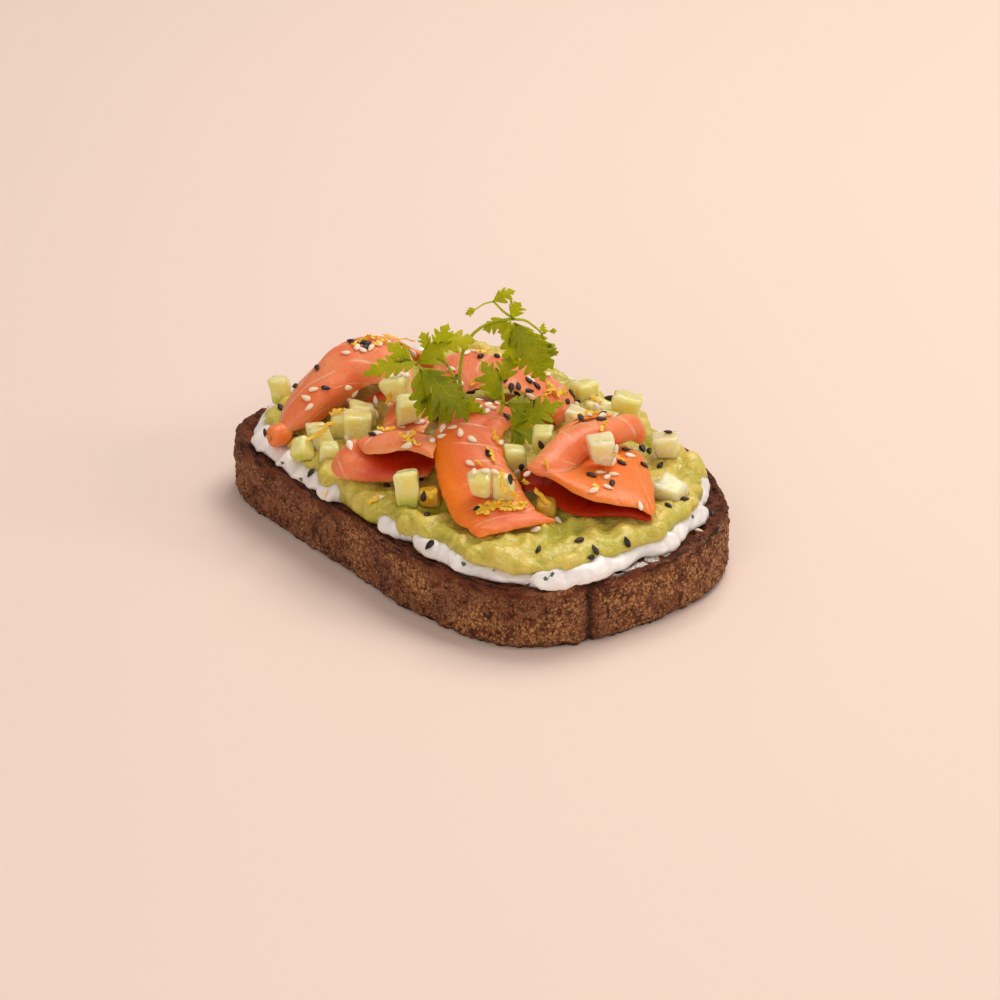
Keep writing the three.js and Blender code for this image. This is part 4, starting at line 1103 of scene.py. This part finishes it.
def sesame_model():
    """One flat seed, blunt at one end and pointed at the other."""
    bpy.ops.object.select_all(action="DESELECT")
    bpy.ops.mesh.primitive_uv_sphere_add(segments=12, ring_count=8, radius=0.5 * MM)
    model = bpy.context.object
    x, y, z = points_of(model).T
    reach = z + 0.5
    taper = 0.80 + 0.42 * (1 - reach) - 0.42 * reach**3
    flat = np.column_stack([(0.5 - reach) * SEED_LENGTH, x * 1.68 * taper, y * 1.05 * taper])
    shape(model, flat)
    weld(model)
    return model


def seed_finish(name, dark, light, gloss):
    seed = Finish(name, Specular_IOR_Level=0.35, Subsurface_Weight=0.1, Subsurface_Scale=0.001)
    patches = seed.swirl(0.0007, 3).step(0.45, 0.75) * 0.4
    shade = seed.coats(dark, (seed.stored("shade"), light), (patches, light))
    return seed.wear(
        Base_Color=shade,
        Roughness=gloss + seed.stored("shade") * 0.15,
        Normal=seed.dents(seed.swirl(0.0005, 3), 0.0002, 0.5),
    )


scatter = random.Random(21)
white_places = [first_met(*from_camera(*spot)) for spot in WHITE_SEEN]
black_places = [first_met(*from_camera(*spot)) for spot in BLACK_SEEN]
for x, y, radius, whites, blacks in SEED_PATCHES:
    for places, count in ((white_places, whites), (black_places, blacks)):
        for _ in range(count):
            angle, apart = scatter.uniform(0, 2 * math.pi), radius * math.sqrt(scatter.random())
            spot = x + apart * math.cos(angle), y + apart * math.sin(angle)
            places.append(first_met(*from_above(*spot)))


def seed_placings(places):
    """Where each seed lies, turned, sized and tilted at random, but for those that met nothing."""
    placings = []
    for met in filter(None, places):
        turn = scatter.uniform(0, 2 * math.pi)
        size = scatter.uniform(*SEED_SIZES)
        placings.append(lying(*met, turn, SEED_LIFT, size, scatter.uniform(-SEED_TILT, SEED_TILT)))
    return placings


white_sesame = seed_finish("white_sesame", (0.86, 0.68, 0.45), (0.97, 0.86, 0.70), 0.38)
black_sesame = seed_finish("black_sesame", (0.010, 0.006, 0.005), (0.050, 0.026, 0.020), 0.34)
scattered("white_sesame_seeds", sesame_model(), seed_placings(white_places), white_sesame)
scattered("black_sesame_seeds", sesame_model(), seed_placings(black_places), black_sesame)

# The lemon zest: ragged yellow curls from a fine grater, 3 to 14 mm long as far as they show and
# a little over 1 mm wide, dropped last so that they bridge from one topping to the next.
# Those seen: across and down the picture at one end, then at the other, and how much each wanders.
ZEST_SEEN = [
    (305, 441, 336, 421, 1.2), (329, 414, 346, 411, 0.8), (377, 428, 396, 431, 1.0),
    (398, 434, 421, 446, 1.3), (402, 441, 416, 432, 1.0), (475, 512, 527, 505, 2.0),
    (484, 515, 500, 500, 1.4), (500, 499, 512, 507, 1.6), (509, 490, 521, 500, 1.4),
    (501, 468, 505, 497, 1.4), (535, 489, 551, 507, 0.9), (511, 476, 529, 484, 1.0),
    (544, 461, 548, 470, 0.9), (487, 447, 497, 462, 1.4), (476, 461, 483, 466, 0.8),
    (600, 432, 607, 421, 0.6), (611, 455, 627, 463, 0.6), (590, 397, 602, 403, 0.8),
    (548, 384, 560, 400, 1.6), (552, 392, 567, 395, 1.5), (545, 398, 556, 388, 1.4),
    (352, 346, 372, 336, 1.4), (362, 340, 386, 338, 1.4), (372, 345, 388, 341, 1.0),
    (391, 392, 386, 403, 0.7), (492, 431, 497, 445, 1.2), (429, 498, 437, 490, 0.9),
    (367, 505, 379, 497, 0.6), (478, 508, 498, 505, 1.6), (490, 511, 512, 501, 1.8),
    (503, 510, 526, 503, 1.6), (484, 505, 506, 511, 1.5), (476, 514, 490, 509, 1.0),
    (512, 508, 528, 506, 1.2), (506, 404, 513, 408, 0.9), (470, 385, 484, 380, 1.1),
    (500, 398, 512, 402, 1.0), (592, 486, 600, 489, 0.4),
]
# Behind the heap: x, y, length and turn in degrees.
ZEST_BEHIND = [
    (0.5, 18, 7, 130), (-12, 20, 9, 30), (24, 12, 9, 75), (-45, 2, 9, 60), (-20, 12, 8, 110),
    (8, 32, 8, 50),
]
ZEST_STEPS = 9
ZEST_HALF_WIDTH = 0.66
ZEST_LIFT = 0.35
PEEL_THICKNESS = 0.35
grater = random.Random(5)


def zest_path(first, last, wander, look):
    """A curl over what lies below it, kept near one plane so that it does not hang down a side."""
    reach = np.array(last) - np.array(first)
    sideways = np.array([-reach[1], reach[0]]) / np.hypot(*reach)
    bends = []
    for k in range(ZEST_STEPS):
        share = k / (ZEST_STEPS - 1)
        bends.append(np.array(first) + reach * share + sideways * wander * 1.6 * grater.uniform(-1, 1))
    middle = first_met(*look(*bends[ZEST_STEPS // 2]))
    if not middle:
        return []
    path = []
    for bend in bends:
        begin, ray = look(*bend)
        facing = (middle[1] * 0.8 - ray).normalized()
        in_plane = (middle[0] - begin).dot(facing) / ray.dot(facing)
        met = first_met(begin, ray)
        reached = (met[0] - begin).length if met else in_plane
        point = begin + ray * min(in_plane, reached)
        path.append(point + facing * (ZEST_LIFT + 0.5 * grater.random()))
    return np.array(path)


def zest_ribbon(path):
    """A strip of faces along a path, ragged at its sides, rolling a little as it goes."""
    share = np.linspace(0, 1, 5 * len(path))
    line = through(path, share)
    heading = np.gradient(line, axis=0)
    heading /= np.linalg.norm(heading, axis=1)[:, None]
    side = np.cross(heading, [0.35, -0.3, 0.9])
    side /= np.linalg.norm(side, axis=1)[:, None] + 1e-9
    lifted = np.cross(side, heading)
    roll = (grater.uniform(-0.6, 0.6) + 1.3 * share * grater.uniform(-1, 1))[:, None]
    side = side * np.cos(roll) + lifted * np.sin(roll)
    taper = np.clip(np.minimum(share, 1 - share) * 9, 0.25, 1)
    edges = []
    for way in (-1, 0, 1):
        width = np.array([ZEST_HALF_WIDTH * (0.45 + 0.9 * grater.random()) for _ in share]) * taper
        edges.append(line + side * (width * way)[:, None] + lifted * (0.12 * abs(way)))
    return np.stack(edges, axis=1)


zest_points, zest_faces = [], []
paths = [zest_path((a, b), (c, d), wander, from_camera) for a, b, c, d, wander in ZEST_SEEN]
for x, y, length, turn in ZEST_BEHIND:
    reach = length / 2 * np.array([math.cos(math.radians(turn)), math.sin(math.radians(turn))])
    paths.append(zest_path((x, y) - reach, (x, y) + reach, 0.4, from_above))
for path in paths:
    if len(path) < 4:
        continue
    ribbon = zest_ribbon(path)
    start = sum(len(part) for part in zest_points)
    zest_points.append(ribbon.reshape(-1, 3))
    for k in range(len(ribbon) - 1):
        corner = start + 3 * k
        zest_faces.append([corner, corner + 1, corner + 4, corner + 3])
        zest_faces.append([corner + 1, corner + 2, corner + 5, corner + 4])
zest = new_piece("lemon_zest_curls", np.concatenate(zest_points) * MM, zest_faces)
apply(zest, "SOLIDIFY", thickness=PEEL_THICKNESS * MM, offset=0)
apply(zest, "SUBSURF", levels=1, render_levels=1)
bpy.ops.object.shade_smooth()
peel = Finish("lemon_zest", Subsurface_Weight=0.3, Subsurface_Scale=0.001, Roughness=0.45, Coat_Weight=0.2)
yellow = peel.mix(peel.swirl(0.002, 4, 0.6).step(0.4, 0.68), (0.95, 0.50, 0.012), (0.98, 0.68, 0.070))
peel.wear(Base_Color=yellow, Normal=peel.dents(peel.swirl(0.0004, 3), 0.0003, 0.6))
zest.data.materials.append(peel.material)
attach(zest, "root")

# The chervil: one sprig of soft, lacy leaves on thin stems, set on the heap as the last thing.
# Leaves are placed by the picture and by how far behind the sprig's foot they are.
SPRIG_FOOT = Vector((10.3, -9.5, 40.5))
# Where a stem forks: across and down the picture, and depth behind the sprig's foot.
LOW_FORK = (495.5, 422.5, 0)
LONG_FORK = (472.6, 421.7, 0.5)
INNER_FORK = (503.4, 402.6, 1.5)
TOP_FORK = (513.7, 319, 6)
CROWN_FORK = (493.2, 301.4, 6)
LEFT_FORK = (447.7, 366, -1)
FAR_LEFT_FORK = (418, 362, -1.5)
# Stems: the points of each, and its radius at the start and at the end.
STEMS = [
    ([(482, 412, -1), (488, 417, -1), LOW_FORK, (505, 427, -1.5), (514, 429, -3)], 0.62, 0.5),
    ([LOW_FORK, (486, 426, 0), (476, 427, 0.5), LONG_FORK, (471, 405, 0.5)], 0.4, 0.25),
    ([LOW_FORK, (500, 412, 1), INNER_FORK, (502, 388, 2.5), (501.2, 377.7, 3), (508, 360, 4)], 0.5, 0.3),
    ([INNER_FORK, (496.8, 399, 1), (489, 388, 0.5)], 0.35, 0.22),
    ([(503.4, 403, 1.5), (511, 403.5, 2), (520, 405, 2.5)], 0.3, 0.2),
    ([LONG_FORK, (465.3, 404, 1), (460.2, 385, 2), (460.2, 369, 3), (463, 352, 3.5), (469, 338.8, 4),
      (482.9, 326.3, 5), (500.5, 320.5, 5.5), TOP_FORK], 0.5, 0.4),
    ([TOP_FORK, (503, 311, 6), (497, 305, 6), CROWN_FORK], 0.38, 0.25),
    ([CROWN_FORK, (484, 304, 6), (476, 309, 6)], 0.25, 0.18),
    ([TOP_FORK, (525.4, 320.5, 6.5), (535, 327, 6.5), (541.6, 333.7, 6.5), (546, 345, 6.5)], 0.38, 0.22),
    ([(542, 334, 6.5), (548, 331, 6.5), (556, 331.5, 6.5)], 0.2, 0.15),
    ([(469, 410, 1), (458, 388, 0), LEFT_FORK, (432, 358, -1), FAR_LEFT_FORK], 0.45, 0.32),
    ([LEFT_FORK, (437, 352, -0.5), (428, 348, 0)], 0.3, 0.25),
    ([FAR_LEFT_FORK, (420.5, 372, -2), (424, 388, -2.5), (430, 400, -3)], 0.4, 0.25),
    ([FAR_LEFT_FORK, (405, 364, -2), (392, 368, -2.5)], 0.32, 0.2),
]
# Leaves: foot and tip as across, down and depth, and the half width in millimetres.
LEAVES = [
    ((493.2, 301.6, 6), (516.5, 290.5, 6.5), 2.6), ((476, 309, 6), (465, 314.8, 6), 1.3),
    ((512, 318, 6), (521, 301.5, 6.5), 3.2), ((508, 321, 6), (482, 331, 5), 3.0),
    ((511, 321, 6.2), (502, 341, 5.5), 3.4), ((515, 323, 6), (546, 384, 4), 5.6),
    ((531, 332, 6.3), (554, 371, 5.5), 4.0), ((516, 330, 5.8), (513, 370, 4.8), 4.6),
    ((545, 334, 6.5), (544, 322, 6.5), 1.1), ((550, 332, 6.5), (557, 330.5, 6.5), 1.0),
    ((546, 344, 6.5), (557, 356, 6.5), 1.6), ((498, 400, 1), (480, 359, -0.5), 4.6),
    ((501, 381, 3), (510, 355, 4), 3.4), ((419, 363, -1.5), (453, 345, -2), 4.4),
    ((438, 343, 0), (478, 341, 1.5), 3.6), ((428, 350, 0), (421, 331, 0.5), 2.6),
    ((436, 349, 0), (449, 322, 0.5), 3.0), ((417, 363, -2), (360, 377, -4), 3.8),
    ((411, 361.5, -2), (385, 342, -2), 3.2), ((421, 369, -2), (470, 425, -5), 6.0),
    ((419.5, 369, -2), (416.5, 419, -4), 3.0), ((424, 389, -2.5), (431, 424, -4), 3.4),
    ((424, 371, -2), (447, 383.5, -2.5), 2.4), ((472.6, 421, 0.5), (471, 393, 0), 3.2),
    ((475, 426.8, 0.5), (470.4, 438, 0), 1.9), ((513.7, 428.3, -3), (522.5, 405, -2), 3.2),
    ((515, 428.5, -3), (567, 402, -3.5), 4.8), ((513.7, 430, -3), (541, 441.5, -4.5), 3.2),
    ((512, 430, -3), (523, 447, -4.5), 2.4), ((506.4, 404, 1.8), (533, 403, 2.5), 3.0),
    ((430, 400, -3), (452, 424, -4), 3.6), ((513, 322, 6), (530, 352, 5), 4.2),
]
LEAF_THICKNESS = 0.22
BLADE_ROWS = 14
BLADE_COLUMNS = 9
FINGER_EVERY = 3.3
CUT_DEPTH = 0.72
garnish = random.Random(11)


def chervil_blade(length, half_width):
    """A blade cut into fingers that lean to its tip, laid out flat, and how veined it is."""
    fingers = max(3, round(length / FINGER_EVERY))
    reach = np.linspace(0, 1, BLADE_ROWS * fingers + 1)[:, None]
    side = np.linspace(-1, 1, BLADE_COLUMNS)[None]
    phase = fingers * reach**0.94 + 0.25 * np.sign(side) * np.sin(np.pi * reach)
    phase = np.clip(phase, 0, fingers)
    number = np.clip(phase, 0, fingers - 0.001).astype(int)
    bulge = np.abs(np.sin(np.pi * phase)) ** 0.75
    teeth = 0.07 * np.abs(np.sin(2 * np.pi * phase)) * bulge
    uneven = np.array([[garnish.uniform(0.78, 1.15) for _ in range(2)] for _ in range(fingers)])
    uneven = uneven[number, (side > 0).astype(int) + 0 * number]
    outline = np.sin(np.pi * reach**0.62) ** (0.6 + 0.5 * reach) * (1 - CUT_DEPTH * (1 - bulge * uneven))
    outline += teeth * (1 - reach**2)
    out = half_width * side * np.clip(outline, 0.02, None)
    along = length * reach + 0.85 * np.abs(out) * (1 - reach**2)
    finger_vein = np.exp(-(((phase % 1 - 0.5) / 0.09) ** 2)) * (np.abs(side) < 0.9)
    veined = np.maximum(finger_vein * 0.95, side == 0)
    return along, out, veined


def chervil_leaf(foot, tip, half_width):
    """A blade bent between its foot and its tip, as a grid of points."""
    length = (tip - foot).length
    along, out, veined = chervil_blade(length * 0.98, half_width * 0.95)
    forward = (tip - foot).normalized()
    facing = backward * garnish.uniform(0.5, 1.0) + Vector((0, 0, garnish.uniform(0.3, 0.9)))
    facing += rightward * garnish.uniform(-0.5, 0.5)
    sideways = facing.cross(forward).normalized()
    upright = forward.cross(sideways)
    reach = along / length
    bow = garnish.uniform(0.05, 0.16) * length
    lift = 4 * bow * reach * (1 - reach) - garnish.uniform(0.02, 0.09) * out * out
    lift += 0.30 * np.sin(1.5 * along + 0.9 * out + garnish.uniform(0, 6)) * np.abs(out) / half_width
    lift += garnish.uniform(-0.25, 0.25) * np.abs(out)
    flat = along[..., None] * np.array(forward) + out[..., None] * np.array(sideways)
    return np.array(foot) + flat + lift[..., None] * np.array(upright), veined


leaf_points, leaf_faces, leaf_rib = [], [], []
for foot, tip, half_width in LEAVES:
    ends = [seen_at_depth(across, down, SPRIG_FOOT, depth) for across, down, depth in (foot, tip)]
    grid, veined = chervil_leaf(*ends, half_width)
    start, (rows, columns) = len(leaf_points), veined.shape
    leaf_points += list(grid.reshape(-1, 3))
    leaf_rib += veined.ravel().tolist()
    for row in range(rows - 1):
        for corner in range(start + row * columns, start + (row + 1) * columns - 1):
            leaf_faces.append([corner, corner + columns, corner + columns + 1, corner + 1])
chervil = new_piece("chervil", np.array(leaf_points) * MM, leaf_faces)
store(chervil, "rib", leaf_rib)
apply(chervil, "SOLIDIFY", thickness=LEAF_THICKNESS * MM, offset=0)

stem_pieces = []
for line, thick, thin in STEMS:
    curve = bpy.data.curves.new("stem", "CURVE")
    curve.dimensions = "3D"
    curve.bevel_depth = MM
    curve.bevel_resolution = 3
    curve.use_fill_caps = True
    beads = [seen_at_depth(across, down, SPRIG_FOOT, depth) for across, down, depth in line]
    smooth = through(np.array(beads), np.linspace(0, 1, 5 * len(line)))
    spline = curve.splines.new("POLY")
    spline.points.add(len(smooth) - 1)
    for k, (point, bead) in enumerate(zip(spline.points, smooth)):
        point.co = (*(bead * MM), 1)
        point.radius = thick + (thin - thick) * k / (len(smooth) - 1)
    stem = bpy.data.objects.new("stem", curve)
    bpy.context.scene.collection.objects.link(stem)
    only(stem)
    bpy.ops.object.convert(target="MESH")
    store(stem, "rib", np.full(len(stem.data.vertices), 2.0))
    stem_pieces.append(stem)
only(chervil)
for stem in stem_pieces:
    stem.select_set(True)
bpy.ops.object.join()
bpy.ops.object.shade_smooth()

leafy = Finish(
    "chervil", Subsurface_Weight=0.85, Subsurface_Scale=0.002, Subsurface_Radius=(0.9, 1.0, 0.05),
    Specular_IOR_Level=0.2,
)
height_here = leafy.add("ShaderNodeSeparateXYZ", {}, {"Vector": leafy.place}, "Z")
vein = leafy.stored("rib")
# Painted light: the leaves are painted lighter the higher they stand and towards the right, where the
# light falls on them.
to_the_right = leafy.add("ShaderNodeSeparateXYZ", {}, {"Vector": leafy.place}, "X").step(0.016, 0.034)
painted_sunlight = height_here.step(0.044, 0.066) * 0.7 + leafy.swirl(0.009, 2).step(0.4, 0.7) * 0.35
painted_sunlight = painted_sunlight + to_the_right * 0.8
green = leafy.coats(
    (0.135, 0.190, 0.001),
    (painted_sunlight, (0.370, 0.385, 0.0)),
    (leafy.swirl(0.0016, 4, 0.6).step(0.5, 0.75) * 0.4, (0.110, 0.160, 0.001)),
    (vein.step(0.80, 1.0) * 0.4, (0.42, 0.46, 0.02)),
    (vein.step(1.5, 1.9), (0.34, 0.38, 0.01)),
)
leafy.wear(
    Base_Color=green,
    Roughness=0.48 + leafy.swirl(0.002, 3).step(0.4, 0.7) * 0.2,
    Normal=leafy.dents(leafy.swirl(0.0006, 3) + vein.step(0.6, 1.0) * 0.5, 0.0003, 0.5),
)
chervil.data.materials.append(leafy.material)
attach(chervil, "root")
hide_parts("chervil_sprig")
